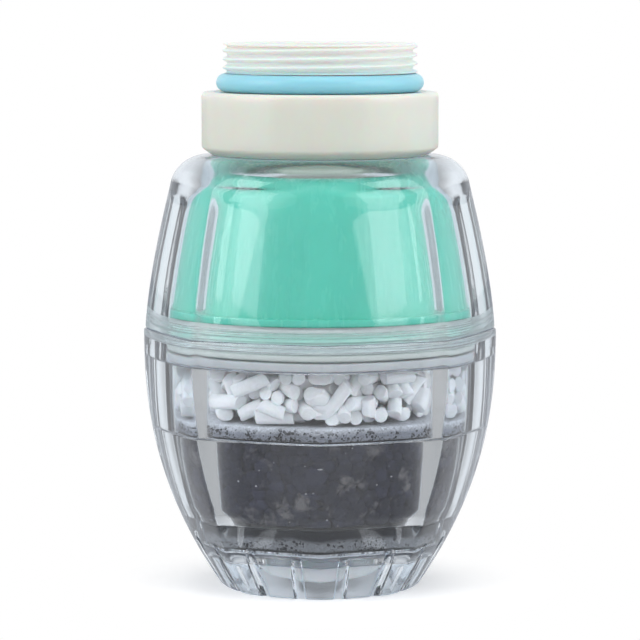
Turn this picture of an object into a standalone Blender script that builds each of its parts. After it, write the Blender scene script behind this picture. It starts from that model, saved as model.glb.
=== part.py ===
"""Faucet mount water filter, in metres, +Z up, standing on its outlet skirt.

A white adapter with a threaded neck screws onto the stub of a clear eight-sided upper
housing. A green bell full of cotton hangs in that housing. The clear lower housing screws
on below it and holds, from the top, white mineral rods, a felt, carbon and a thick felt.
"""

import math
import random

import bmesh
import bpy
from mathutils import Matrix

MM = 0.001

# Roundness
STEPS = 32
HOLE_STEPS = 8
SMALL_HOLE_STEPS = 6

# Clearances
SEAT_GAP = 0.3 * MM
SIDE_GAP = 0.3 * MM
THREAD_GAP = 0.3 * MM

# Clear lower housing: its facets, then its chambers, each in from the one above it
SIDES = 8
FACET_BULGE = 0.25
FOOT_BULGE = 0.7
FACET_MIDDLE = math.cos(math.pi / SIDES) * (1 - FACET_BULGE) + FACET_BULGE
RIM_RADIUS = 30.2 * MM
FOOT_TAPER = 13.2 * MM
LOWER_CURVE = 2.34
RIM_WALL = 2.08 * MM
LID_LEDGE = 3.0 * MM
CARBON_LEDGE = 1.1 * MM
CARBON_TAPER = 2.0 * MM
CARBON_CORNER = 2.0 * MM
FELT_LEDGE = 0.9 * MM
SKIRT_DEPTH = 6.4 * MM
SKIRT_WALL = 2.0 * MM
FLOOR_THICKNESS = 1.7 * MM
FLUTE_COUNT = 16
FLUTE_RADIUS = 0.8 * MM
FLUTE_DEPTH = 0.5 * MM
FLUTE_TOP = 7.8 * MM
FLUTE_OVERRUN = 2.4 * MM
FOOT_RADIUS = RIM_RADIUS - FOOT_TAPER
MOUTH_RADIUS = RIM_RADIUS * FACET_MIDDLE - RIM_WALL
ROD_CHAMBER_RADIUS = MOUTH_RADIUS - LID_LEDGE
CARBON_TOP_RADIUS = ROD_CHAMBER_RADIUS - CARBON_LEDGE
CARBON_FOOT_RADIUS = CARBON_TOP_RADIUS - CARBON_TAPER
FELT_CHAMBER_RADIUS = CARBON_FOOT_RADIUS - FELT_LEDGE

# Outlet strainer and mesh
STRAINER_INSET = 5.8 * MM
STRAINER_DEPTH = 3.3 * MM
STRAINER_WALL = 1.2 * MM
STRAINER_STEP = 1.6 * MM
STRAINER_HOLE_RADIUS = 0.9 * MM
STRAINER_HOLE_PITCH = 3.3 * MM
MESH_THICKNESS = 0.4 * MM
MESH_HOLE_RADIUS = 1.4 * MM
MESH_HOLE_PITCH = 6.0 * MM
HOLE_MARGIN = 0.8 * MM
STRAINER_RADIUS = FOOT_RADIUS - STRAINER_INSET
STRAINER_NECK_RADIUS = STRAINER_RADIUS - STRAINER_STEP

# Filter media, as depths of their layers
LOWER_FELT_DEPTH = 4.1 * MM
CARBON_DEPTH = 14.2 * MM
UPPER_FELT_DEPTH = 2.4 * MM
ROD_BED_DEPTH = 8.7 * MM
CARBON_ROWS = 7
GRAIN_DEPTH = 0.5 * MM
ROD_RADIUS = 1.2 * MM
ROD_LENGTH = 6.0 * MM
ROD_SHORTEST = 0.6
ROD_TIP = 70
ROD_SINK = 0.2 * MM
ROD_COUNT = 54
ROD_SIDES = 6

# Lid, gasket and screwed spigot at the seam
LID_THICKNESS = 1.4 * MM
SLOT_COUNT = 12
SLOT_WIDTH = 2.2 * MM
SLOT_START = 6.0 * MM
SLOT_MARGIN = 5.1 * MM
GASKET_THICKNESS = 1.0 * MM
GASKET_WIDTH = 1.4 * MM
SPIGOT_LENGTH = 1.65 * MM
SPIGOT_LIP = 0.5 * MM
SPIGOT_LIP_HEIGHT = 1.3 * MM

# Clear upper housing, a little narrower than the lower one at the seam
RIM_STEP = 0.25 * MM
UPPER_HEIGHT = 29.65 * MM
UPPER_TAPER = 5.7 * MM
UPPER_CURVE = 1.42
UPPER_WALL = 3.2 * MM
SHOULDER_RADIUS = 6.0 * MM
FACET_END = 3.5 * MM
FACET_FADE = 5.0 * MM
INNER_SHOULDER_RADIUS = 3.0 * MM
PLATE_THICKNESS = 2.4 * MM
STUB_INSET = 8.85 * MM
STUB_WALL = 4.4 * MM
STUB_HEIGHT = 6.9 * MM
UPPER_RIM_RADIUS = RIM_RADIUS - RIM_STEP
STUB_RADIUS = UPPER_RIM_RADIUS - UPPER_TAPER - STUB_INSET
STUB_BORE = STUB_RADIUS - STUB_WALL

# Green bell, its cotton and its cap
CAP_THICKNESS = 1.3 * MM
BELL_FELT_THICKNESS = 0.6 * MM
BELL_CLEARANCE = 1.5 * MM
BELL_RIM_HEIGHT = 1.2 * MM
BELL_WALL = 1.4 * MM
BELL_CORNER = 2.6 * MM
BELL_INLET_LIP = 1.5 * MM
BELL_GASKET_WIDTH = 2.4 * MM
BELL_GASKET_THICKNESS = 0.7 * MM
BELL_INLET = STUB_BORE - BELL_INLET_LIP

# White inlet adapter, its washer, ring and screen
COLLAR_WALL = 4.5 * MM
COLLAR_HEIGHT = 10.5 * MM
COLLAR_SIDES = 16
COLLAR_BULGE = 0.6
COLLAR_CHAMFER_WIDTH = 1.7 * MM
COLLAR_CHAMFER_HEIGHT = 1.0 * MM
EDGE = 0.4 * MM
NUT_SHOULDER = 3.6 * MM
NECK_HEIGHT = 8.2 * MM
NECK_WALL = 4.0 * MM
WEB_LIP = 1.5 * MM
WEB_THICKNESS = 1.9 * MM
WASHER_THICKNESS = 1.2 * MM
RING_SECTION = 3.1 * MM
RING_INSET = 0.45 * MM
RING_SEAT_DEPTH = 0.3 * MM
RING_SIDES = 8
SCREEN_THICKNESS = 0.4 * MM
SCREEN_HOLE_RADIUS = 1.1 * MM
SCREEN_HOLE_PITCH = 3.8 * MM
SOCKET_RADIUS = STUB_RADIUS + THREAD_GAP
COLLAR_RADIUS = SOCKET_RADIUS + COLLAR_WALL
NECK_RADIUS = COLLAR_RADIUS - NUT_SHOULDER
NECK_BORE = NECK_RADIUS - NECK_WALL
WATER_HOLE = STUB_BORE - WEB_LIP
RING_MAJOR_RADIUS = NECK_RADIUS - RING_INSET

# Levels, each piece resting on the one below it
FLOOR_TOP = SKIRT_DEPTH + FLOOR_THICKNESS
MESH_Z = FLOOR_TOP + SEAT_GAP
LOWER_FELT_Z = MESH_Z + MESH_THICKNESS + SEAT_GAP
FELT_LEDGE_Z = LOWER_FELT_Z + LOWER_FELT_DEPTH
CARBON_Z = FELT_LEDGE_Z + SEAT_GAP
CARBON_LEDGE_Z = CARBON_Z + CARBON_DEPTH
UPPER_FELT_Z = CARBON_LEDGE_Z + SEAT_GAP
ROD_BED_Z = UPPER_FELT_Z + UPPER_FELT_DEPTH + SEAT_GAP
LID_LEDGE_Z = ROD_BED_Z + ROD_BED_DEPTH
LID_Z = LID_LEDGE_Z + SEAT_GAP
GASKET_Z = LID_Z + LID_THICKNESS + SEAT_GAP
SPIGOT_END_Z = GASKET_Z + GASKET_THICKNESS + SEAT_GAP
SEAM_Z = SPIGOT_END_Z + SPIGOT_LENGTH
LOWER_HEIGHT = SEAM_Z - SEAT_GAP
PLATE_Z = SEAM_Z + UPPER_HEIGHT
CAP_Z = SPIGOT_END_Z + SPIGOT_LIP_HEIGHT + SEAT_GAP
BELL_FELT_Z = CAP_Z + CAP_THICKNESS + SEAT_GAP
BELL_Z = BELL_FELT_Z + BELL_FELT_THICKNESS + SEAT_GAP
BELL_GASKET_Z = PLATE_Z - PLATE_THICKNESS - SEAT_GAP - BELL_GASKET_THICKNESS
BELL_HEIGHT = BELL_GASKET_Z - SEAT_GAP - BELL_Z
ADAPTER_Z = PLATE_Z + SEAT_GAP
WASHER_Z = PLATE_Z + STUB_HEIGHT + SEAT_GAP
SOCKET_DEPTH = WASHER_Z + WASHER_THICKNESS + SEAT_GAP - ADAPTER_Z
SCREEN_Z = ADAPTER_Z + SOCKET_DEPTH + WEB_THICKNESS + SEAT_GAP
RING_SEAT_Z = ADAPTER_Z + COLLAR_HEIGHT - RING_SEAT_DEPTH
RING_Z = RING_SEAT_Z + SEAT_GAP + RING_SECTION / 2


def empty_scene():
    for obj in list(bpy.data.objects):
        bpy.data.objects.remove(obj, do_unlink=True)
    parts = bpy.data.collections.new("faucet_filter")
    cutters = bpy.data.collections.new("cutters")
    cutters.hide_render = True
    bpy.context.scene.collection.children.link(parts)
    bpy.context.scene.collection.children.link(cutters)
    return parts, cutters


PARTS, CUTTERS = empty_scene()


def finish(name, color, roughness, metallic=0.0, alpha=1.0):
    """A Principled material of one colour, for a piece in the source."""
    material = bpy.data.materials.new(name)
    material.use_nodes = True
    shader = material.node_tree.nodes["Principled BSDF"]
    shader.inputs["Base Color"].default_value = (*color, 1.0)
    shader.inputs["Roughness"].default_value = roughness
    shader.inputs["Metallic"].default_value = metallic
    shader.inputs["Alpha"].default_value = alpha
    material.diffuse_color = (*color, alpha)
    return material


CLEAR = finish("clear_plastic", (0.80, 0.84, 0.90), 0.08, alpha=0.35)
WHITE = finish("adapter_white", (0.72, 0.78, 0.70), 0.45)
GREEN = finish("bell_green", (0.18, 0.60, 0.46), 0.4)
BLUE = finish("ring_blue", (0.28, 0.66, 0.82), 0.35)
CREAM = finish("silicone_cream", (0.70, 0.72, 0.58), 0.5)
RUBBER = finish("washer_grey", (0.45, 0.46, 0.47), 0.6)
STEEL = finish("screen_steel", (0.62, 0.63, 0.65), 0.35, metallic=1.0)
FELT = finish("felt_grey", (0.42, 0.43, 0.46), 0.95)
COTTON = finish("cotton_white", (0.85, 0.85, 0.83), 1.0)
MINERAL = finish("mineral_white", (0.82, 0.82, 0.84), 0.8)
CARBON = finish("carbon_black", (0.03, 0.03, 0.035), 0.7)
MILKY = finish("milky_plastic", (0.74, 0.77, 0.80), 0.3)


def place(name, mesh, material, z=0.0, collection=PARTS):
    """An object of this mesh, its own base plane at height z on the filter's axis."""
    obj = bpy.data.objects.new(name, mesh)
    obj.location.z = z
    collection.objects.link(obj)
    if material:
        mesh.materials.append(material)
    if collection is CUTTERS:
        obj.hide_render = True
        obj.display_type = "WIRE"
    return obj


def arc(radius_at, z_at, radius, start, end, count):
    """Points on a circle in the (radius, z) plane, angles in degrees."""
    angles = [math.radians(start + (end - start) * i / count) for i in range(count + 1)]
    return [(radius_at + radius * math.cos(a), z_at + radius * math.sin(a)) for a in angles]


def turned(name, outline, material, z=0.0, closed=True):
    """A turned piece: its outline runs down the outer side, then up the inner one."""
    mesh = bpy.data.meshes.new(name)
    count = len(outline)
    edges = [(i, (i + 1) % count) for i in range(count if closed else count - 1)]
    mesh.from_pydata([(r, 0.0, height) for r, height in outline], edges, [])
    obj = place(name, mesh, material, z)
    screw = obj.modifiers.new("turn", "SCREW")
    screw.steps = STEPS
    screw.render_steps = STEPS
    screw.use_merge_vertices = True
    screw.merge_threshold = 1e-6
    return obj


def disc(name, radius, thickness, material, z, edge=0.0):
    outline = [(0.0, thickness), (radius - edge, thickness), (radius, thickness - edge)]
    outline += [(radius, edge), (radius - edge, 0.0), (0.0, 0.0)]
    if not edge:
        outline = [(0.0, thickness), (radius, thickness), (radius, 0.0), (0.0, 0.0)]
    return turned(name, outline, material, z, closed=False)


def ring(name, inner, outer, thickness, material, z):
    outline = [(inner, thickness), (outer, thickness), (outer, 0.0), (inner, 0.0)]
    return turned(name, outline, material, z)


def facet_scale(angle, sides, bulge):
    """How far a facet with this bulge draws a circle in, 1 at each ridge."""
    pitch = 2 * math.pi / sides
    off_ridge = abs((angle + pitch / 2) % pitch - pitch / 2)
    flat = math.cos(pitch / 2) / math.cos(pitch / 2 - off_ridge)
    return flat * (1 - bulge) + bulge


def faceted(name, outline, material, z, sides, bulges):
    """A turned piece whose outline points with a bulge are drawn in to that many facets."""
    bm = bmesh.new()
    bulge_layer = bm.verts.layers.float.new("bulge")
    ring_verts = []
    for (radius, height), bulge in zip(outline, bulges):
        vert = bm.verts.new((radius, 0.0, height))
        vert[bulge_layer] = bulge
        ring_verts.append(vert)
    edges = []
    for first, second in zip(ring_verts, ring_verts[1:] + ring_verts[:1]):
        edges.append(bm.edges.new((first, second)))
    bmesh.ops.spin(
        bm, geom=ring_verts + edges, cent=(0, 0, 0), axis=(0, 0, 1),
        angle=2 * math.pi, steps=STEPS, use_merge=True,
    )
    for vert in bm.verts:
        angle = math.atan2(vert.co.y, vert.co.x)
        scale = facet_scale(angle, sides, vert[bulge_layer])
        vert.co.x *= scale
        vert.co.y *= scale
    bmesh.ops.recalc_face_normals(bm, faces=bm.faces)
    mesh = bpy.data.meshes.new(name)
    bm.to_mesh(mesh)
    bm.free()
    mesh.shade_smooth()
    mesh.set_sharp_from_angle(angle=math.radians(35))
    return place(name, mesh, material, z)


def cut(target, cutter):
    boolean = target.modifiers.new("cut_" + cutter.name, "BOOLEAN")
    boolean.operation = "DIFFERENCE"
    boolean.object = cutter


def hole_places(reach_out, pitch):
    """The centre, then as many rings of 6, 12 and so on as fit within this radius."""
    places = [(0.0, 0.0)]
    for ring_number in range(1, int(reach_out // pitch) + 1):
        for i in range(6 * ring_number):
            angle = 2 * math.pi * i / (6 * ring_number)
            reach = pitch * ring_number
            places.append((reach * math.cos(angle), reach * math.sin(angle)))
    return places


def punch(target, disc_radius, pitch, radius, bottom, top, sides=SMALL_HOLE_STEPS):
    """Round holes straight through a disc, a margin in from its edge."""
    bm = bmesh.new()
    for x, y in hole_places(disc_radius - radius - HOLE_MARGIN, pitch):
        bmesh.ops.create_cone(
            bm, cap_ends=True, segments=sides, radius1=radius, radius2=radius,
            depth=top - bottom, matrix=Matrix.Translation((x, y, (bottom + top) / 2)),
        )
    mesh = bpy.data.meshes.new(target.name + "_holes")
    bm.to_mesh(mesh)
    bm.free()
    cut(target, place(target.name + "_holes", mesh, None, collection=CUTTERS))


def slot(target, disc_radius, bottom, top):
    """Radial slots straight through a disc, a margin in from its edge."""
    bm = bmesh.new()
    slot_end = disc_radius - SLOT_MARGIN
    size = Matrix.Diagonal((slot_end - SLOT_START, SLOT_WIDTH, top - bottom, 1.0))
    centre = Matrix.Translation(((SLOT_START + slot_end) / 2, 0.0, (bottom + top) / 2))
    for i in range(SLOT_COUNT):
        turn = Matrix.Rotation(2 * math.pi * (i + 0.5) / SLOT_COUNT, 4, "Z")
        bmesh.ops.create_cube(bm, size=1.0, matrix=turn @ centre @ size)
    mesh = bpy.data.meshes.new(target.name + "_slots")
    bm.to_mesh(mesh)
    bm.free()
    cut(target, place(target.name + "_slots", mesh, None, collection=CUTTERS))


def lower_ridge(z):
    """Radius over the ridges of the lower housing, which curves in towards its foot."""
    below_seam = (LOWER_HEIGHT - z) / LOWER_HEIGHT
    return RIM_RADIUS - (RIM_RADIUS - FOOT_RADIUS) * below_seam**LOWER_CURVE


def upper_ridge(height):
    """Radius over the ridges of the upper housing, at this height above the seam."""
    return UPPER_RIM_RADIUS - UPPER_TAPER * (height / UPPER_HEIGHT) ** UPPER_CURVE


def upper_inside(height):
    """Radius of the upper housing's round inner wall."""
    return upper_ridge(height) * FACET_MIDDLE - UPPER_WALL


def spread(start, end, count):
    return [start + (end - start) * i / count for i in range(count + 1)]


def lower_outline():
    """The housing's section, and for each point the bulge of its facets, 1 where round."""
    outline = []
    bulges = []
    for z in spread(LOWER_HEIGHT, 0.0, 14):
        outline.append((lower_ridge(z), z))
        into_skirt = max(0.0, 1 - z / (SKIRT_DEPTH + FLOOR_THICKNESS))
        bulges.append(FACET_BULGE + (FOOT_BULGE - FACET_BULGE) * into_skirt)
    for z in spread(0.0, SKIRT_DEPTH, 2):
        outline.append((lower_ridge(z) * FACET_MIDDLE - SKIRT_WALL, z))
    strainer_hole = STRAINER_NECK_RADIUS + SIDE_GAP
    outline += [(strainer_hole, SKIRT_DEPTH), (strainer_hole, FLOOR_TOP)]
    outline += [(FELT_CHAMBER_RADIUS, FLOOR_TOP), (FELT_CHAMBER_RADIUS, FELT_LEDGE_Z)]
    corner_radius = CARBON_FOOT_RADIUS - CARBON_CORNER / 2
    outline += [(corner_radius, FELT_LEDGE_Z), (CARBON_FOOT_RADIUS, FELT_LEDGE_Z + CARBON_CORNER)]
    outline += [(CARBON_TOP_RADIUS, CARBON_LEDGE_Z), (ROD_CHAMBER_RADIUS, CARBON_LEDGE_Z)]
    outline += [(ROD_CHAMBER_RADIUS, LID_LEDGE_Z), (MOUTH_RADIUS, LID_LEDGE_Z)]
    outline += [(MOUTH_RADIUS, LOWER_HEIGHT)]
    bulges += [1.0] * (len(outline) - len(bulges))
    return outline, bulges


def flute_cutter():
    """Round-headed rods that lie along the skirt's slope, part sunk in its outer face."""
    slope = math.atan2(lower_ridge(FLUTE_TOP) - lower_ridge(0.0), FLUTE_TOP)
    length = FLUTE_TOP / math.cos(slope) + FLUTE_OVERRUN
    first = math.pi / FLUTE_COUNT
    face = facet_scale(first, SIDES, (FOOT_BULGE + FACET_BULGE) / 2)
    axis_radius = lower_ridge(FLUTE_TOP) * face + FLUTE_RADIUS - FLUTE_DEPTH
    outline = arc(0.0, 0.0, FLUTE_RADIUS, 90, 0, 2)
    outline += [(FLUTE_RADIUS, -length), (0.0, -length)]
    bm = bmesh.new()
    verts = [bm.verts.new((radius, 0.0, height)) for radius, height in outline]
    edges = [bm.edges.new(pair) for pair in zip(verts, verts[1:])]
    bmesh.ops.spin(
        bm, geom=verts + edges, cent=(0, 0, 0), axis=(0, 0, 1),
        angle=2 * math.pi, steps=HOLE_STEPS, use_merge=True,
    )
    bmesh.ops.remove_doubles(bm, verts=bm.verts, dist=FLUTE_RADIUS / 100)
    lie = Matrix.Rotation(first, 4, "Z") @ Matrix.Translation((axis_radius, 0.0, FLUTE_TOP))
    bmesh.ops.transform(bm, matrix=lie @ Matrix.Rotation(slope, 4, "Y"), verts=bm.verts)
    turn = 2 * math.pi / FLUTE_COUNT
    bmesh.ops.spin(
        bm, geom=bm.verts[:] + bm.edges[:] + bm.faces[:], cent=(0, 0, 0), axis=(0, 0, 1),
        angle=2 * math.pi - turn, steps=FLUTE_COUNT - 1, use_duplicate=True,
    )
    bmesh.ops.recalc_face_normals(bm, faces=bm.faces)
    mesh = bpy.data.meshes.new("skirt_flutes")
    bm.to_mesh(mesh)
    bm.free()
    return place("skirt_flutes", mesh, None, collection=CUTTERS)


def make_lower_housing():
    outline, bulges = lower_outline()
    housing = faceted("lower_housing", outline, CLEAR, 0.0, SIDES, bulges)
    cut(housing, flute_cutter())
    return housing


def make_outlet_strainer():
    """A milky cup pressed into the floor from below, with the shower holes in its end."""
    height = STRAINER_DEPTH + SEAT_GAP + FLOOR_THICKNESS
    inside = STRAINER_NECK_RADIUS - STRAINER_WALL
    outline = [(inside, height), (STRAINER_NECK_RADIUS, height)]
    outline += [(STRAINER_NECK_RADIUS, STRAINER_DEPTH), (STRAINER_RADIUS, STRAINER_DEPTH)]
    outline += [(STRAINER_RADIUS, EDGE), (STRAINER_RADIUS - EDGE, 0.0), (0.0, 0.0)]
    outline += [(0.0, STRAINER_WALL), (inside, STRAINER_WALL)]
    z = SKIRT_DEPTH - SEAT_GAP - STRAINER_DEPTH
    start = outline.index((0.0, STRAINER_WALL))
    outline = outline[start:] + outline[:start]
    strainer = turned("outlet_strainer", outline, MILKY, z, closed=False)
    top = z + 2 * STRAINER_WALL
    punch(
        strainer, inside, STRAINER_HOLE_PITCH, STRAINER_HOLE_RADIUS, z - STRAINER_WALL, top,
        HOLE_STEPS,
    )
    return strainer


def make_outlet_mesh():
    radius = FELT_CHAMBER_RADIUS - SIDE_GAP
    mesh_disc = disc("outlet_mesh", radius, MESH_THICKNESS, STEEL, MESH_Z)
    bottom = MESH_Z - MESH_THICKNESS
    top = MESH_Z + 2 * MESH_THICKNESS
    punch(mesh_disc, radius, MESH_HOLE_PITCH, MESH_HOLE_RADIUS, bottom, top)
    return mesh_disc


def make_felts():
    disc("lower_felt", FELT_CHAMBER_RADIUS - SIDE_GAP, LOWER_FELT_DEPTH, FELT, LOWER_FELT_Z, EDGE)
    disc("upper_felt", ROD_CHAMBER_RADIUS - SIDE_GAP, UPPER_FELT_DEPTH, FELT, UPPER_FELT_Z, EDGE)


def make_carbon_bed():
    """Packed granules: they fill their chamber, and each lump stands a little proud."""
    foot = CARBON_FOOT_RADIUS - CARBON_CORNER / 2 - SIDE_GAP
    side = []
    for height in spread(CARBON_DEPTH, CARBON_CORNER, CARBON_ROWS):
        share = (height - CARBON_CORNER) / (CARBON_DEPTH - CARBON_CORNER)
        radius = CARBON_FOOT_RADIUS + (CARBON_TOP_RADIUS - CARBON_FOOT_RADIUS) * share
        side.append((radius - SIDE_GAP, height))
    top = [(0.0, CARBON_DEPTH), (side[0][0] / 2, CARBON_DEPTH)]
    outline = top + side + [(foot, 0.0), (foot / 2, 0.0), (0.0, 0.0)]
    bed = turned("carbon_bed", outline, CARBON, CARBON_Z, closed=False)
    graph = bpy.context.evaluated_depsgraph_get()
    mesh = bpy.data.meshes.new_from_object(bed.evaluated_get(graph))
    bed.modifiers.clear()
    bed.data = mesh
    lumps = random.Random(7)
    for vert in mesh.vertices:
        radius = math.hypot(vert.co.x, vert.co.y)
        if EDGE < vert.co.z < CARBON_DEPTH - EDGE and radius > foot / 2:
            scale = 1 - lumps.random() * GRAIN_DEPTH / radius
            vert.co.x *= scale
            vert.co.y *= scale
    return bed


def fill_pockets(mesh):
    """The mesh with only its largest surface, so that no closed pocket is left between rods."""
    bm = bmesh.new()
    bm.from_mesh(mesh)
    waiting = set(bm.verts)
    surfaces = []
    while waiting:
        reached = [waiting.pop()]
        for vert in reached:
            for edge in vert.link_edges:
                other = edge.other_vert(vert)
                if other in waiting:
                    waiting.remove(other)
                    reached.append(other)
        surfaces.append(reached)
    surfaces.sort(key=len)
    bmesh.ops.delete(bm, geom=[v for surface in surfaces[:-1] for v in surface], context="VERTS")
    bm.to_mesh(mesh)
    bm.free()
    return mesh


def rod_matrix(chance, outer, floor, roof):
    """Where one rod lies against the wall: tangent to it, tipped, and clear of every side."""
    angle = chance.uniform(0, 2 * math.pi)
    tip = chance.uniform(-ROD_TIP, ROD_TIP)
    half = ROD_LENGTH / 2 * abs(math.sin(math.radians(tip))) + ROD_RADIUS
    height = (floor + roof) / 2 + chance.uniform(-1, 1) * max(0.0, (roof - floor) / 2 - half)
    flat_half = ROD_LENGTH / 2 * abs(math.cos(math.radians(tip)))
    reach = math.sqrt((outer - SIDE_GAP / 2) ** 2 - flat_half**2) - ROD_RADIUS
    lie = Matrix.Rotation(angle, 4, "Z") @ Matrix.Translation((reach, 0.0, height))
    return lie @ Matrix.Rotation(math.radians(90 - tip), 4, "X")


def make_rod_bed():
    """White mineral rods heaped on the upper felt, fused to the heap behind them."""
    outer = ROD_CHAMBER_RADIUS - SIDE_GAP
    core_radius = outer - 2 * ROD_RADIUS + ROD_SINK
    core = disc("rod_bed", core_radius, ROD_BED_DEPTH - ROD_RADIUS, MINERAL, ROD_BED_Z)
    chance = random.Random(3)
    bm = bmesh.new()
    for _ in range(ROD_COUNT):
        bmesh.ops.create_cone(
            bm, cap_ends=True, segments=ROD_SIDES, radius1=ROD_RADIUS, radius2=ROD_RADIUS,
            depth=ROD_LENGTH * chance.uniform(ROD_SHORTEST, 1.0),
            matrix=rod_matrix(chance, outer, ROD_BED_Z, ROD_BED_Z + ROD_BED_DEPTH),
        )
    mesh = bpy.data.meshes.new("loose_rods")
    bm.to_mesh(mesh)
    bm.free()
    rods = place("loose_rods", mesh, None, collection=CUTTERS)
    union = core.modifiers.new("heap", "BOOLEAN")
    union.operation = "UNION"
    union.object = rods
    union.use_self = True
    graph = bpy.context.evaluated_depsgraph_get()
    core.data = fill_pockets(bpy.data.meshes.new_from_object(core.evaluated_get(graph)))
    core.modifiers.clear()
    bpy.data.objects.remove(rods)
    return core


def make_media_lid():
    radius = MOUTH_RADIUS - SIDE_GAP
    lid = disc("media_lid", radius, LID_THICKNESS, MILKY, LID_Z)
    slot(lid, radius, LID_Z - LID_THICKNESS, LID_Z + 2 * LID_THICKNESS)
    return lid


def make_seam_gasket():
    outer = MOUTH_RADIUS - SIDE_GAP
    return ring("seam_gasket", outer - GASKET_WIDTH, outer, GASKET_THICKNESS, CREAM, GASKET_Z)


def make_upper_housing():
    """A dome whose facets end below its round shoulder, with an inlet stub and a spigot."""
    outline = [(STUB_BORE, UPPER_HEIGHT + STUB_HEIGHT), (STUB_RADIUS - EDGE, UPPER_HEIGHT + STUB_HEIGHT)]
    outline += [(STUB_RADIUS, UPPER_HEIGHT + STUB_HEIGHT - EDGE), (STUB_RADIUS, UPPER_HEIGHT)]
    lean = math.degrees(math.atan(UPPER_CURVE * UPPER_TAPER / UPPER_HEIGHT))
    tangent = SHOULDER_RADIUS * math.tan(math.radians(90 - lean) / 2)
    centre = upper_ridge(UPPER_HEIGHT) - tangent
    shoulder = arc(centre, UPPER_HEIGHT - SHOULDER_RADIUS, SHOULDER_RADIUS, 90, lean, 5)
    outline += shoulder
    plain = len(outline)
    outline += [(upper_ridge(height), height) for height in spread(shoulder[-1][1], 0.0, 8)[1:]]
    bulges = [1.0] * (plain - len(shoulder))
    for _, height in outline[plain - len(shoulder):]:
        below_end = UPPER_HEIGHT - FACET_END - height
        rounded = min(1.0, max(0.0, 1 - below_end / FACET_FADE))
        bulges.append(FACET_BULGE + (1 - FACET_BULGE) * rounded)
    spigot = MOUTH_RADIUS - THREAD_GAP
    inside = upper_inside(0.0)
    outline += [(spigot, 0.0), (spigot, -SPIGOT_LENGTH), (inside - SPIGOT_LIP, -SPIGOT_LENGTH)]
    lip_top = SPIGOT_LIP_HEIGHT - SPIGOT_LENGTH
    outline += [(inside - SPIGOT_LIP, lip_top), (inside, lip_top)]
    ceiling = UPPER_HEIGHT - PLATE_THICKNESS
    corner_z = ceiling - INNER_SHOULDER_RADIUS
    outline += [(upper_inside(height), height) for height in spread(0.0, corner_z, 5)[1:]]
    corner = upper_inside(corner_z) - INNER_SHOULDER_RADIUS
    outline += arc(corner, corner_z, INNER_SHOULDER_RADIUS, 0, 90, 3)[1:]
    outline += [(STUB_BORE, ceiling)]
    bulges += [1.0] * (len(outline) - len(bulges))
    return faceted("upper_housing", outline, CLEAR, SEAM_Z, SIDES, bulges)


def bell_side(height):
    """Radius of the bell's outer side, at this height above the bell's rim."""
    return upper_inside(BELL_Z - SEAM_Z + height) - BELL_CLEARANCE


def make_bell():
    """A cup turned mouth down: a locating rim, a curved side, a rounded top and an inlet."""
    rim = upper_inside(BELL_Z - SEAM_Z + BELL_RIM_HEIGHT) - SIDE_GAP
    corner_z = BELL_HEIGHT - BELL_CORNER
    corner = bell_side(corner_z) - BELL_CORNER
    heights = spread(corner_z, BELL_RIM_HEIGHT, 5)
    outline = [(BELL_INLET, BELL_HEIGHT)]
    outline += arc(corner, corner_z, BELL_CORNER, 90, 0, 3)
    outline += [(bell_side(height), height) for height in heights[1:]]
    outline += [(rim, BELL_RIM_HEIGHT), (rim, 0.0)]
    outline += [(bell_side(height) - BELL_WALL, height) for height in [0.0] + heights[::-1]]
    outline += [(corner, BELL_HEIGHT - BELL_WALL), (BELL_INLET, BELL_HEIGHT - BELL_WALL)]
    return turned("green_bell", outline, GREEN, BELL_Z)


def make_cotton_pad():
    """Cotton packed into the bell."""
    ceiling = BELL_HEIGHT - BELL_WALL - SEAT_GAP
    shoulder = BELL_HEIGHT - BELL_CORNER
    inset = BELL_WALL + SIDE_GAP
    outline = [(0.0, ceiling), (bell_side(shoulder) - BELL_CORNER, ceiling)]
    outline += [(bell_side(height) - inset, height) for height in spread(shoulder - EDGE, EDGE, 4)]
    outline += [(bell_side(0.0) - inset - EDGE, 0.0), (0.0, 0.0)]
    return turned("cotton_pad", outline, COTTON, BELL_Z, closed=False)


def make_bell_fittings():
    """What closes the bell: a seal over it, and a felt and a slotted cap in its mouth."""
    outer = STUB_BORE + BELL_GASKET_WIDTH
    ring("bell_gasket", STUB_BORE, outer, BELL_GASKET_THICKNESS, CREAM, BELL_GASKET_Z)
    radius = upper_inside(BELL_Z - SEAM_Z) - SIDE_GAP
    disc("bell_felt", radius, BELL_FELT_THICKNESS, COTTON, BELL_FELT_Z)
    cap = disc("bell_cap", radius, CAP_THICKNESS, GREEN, CAP_Z)
    slot(cap, radius, CAP_Z - CAP_THICKNESS, CAP_Z + 2 * CAP_THICKNESS)


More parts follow.
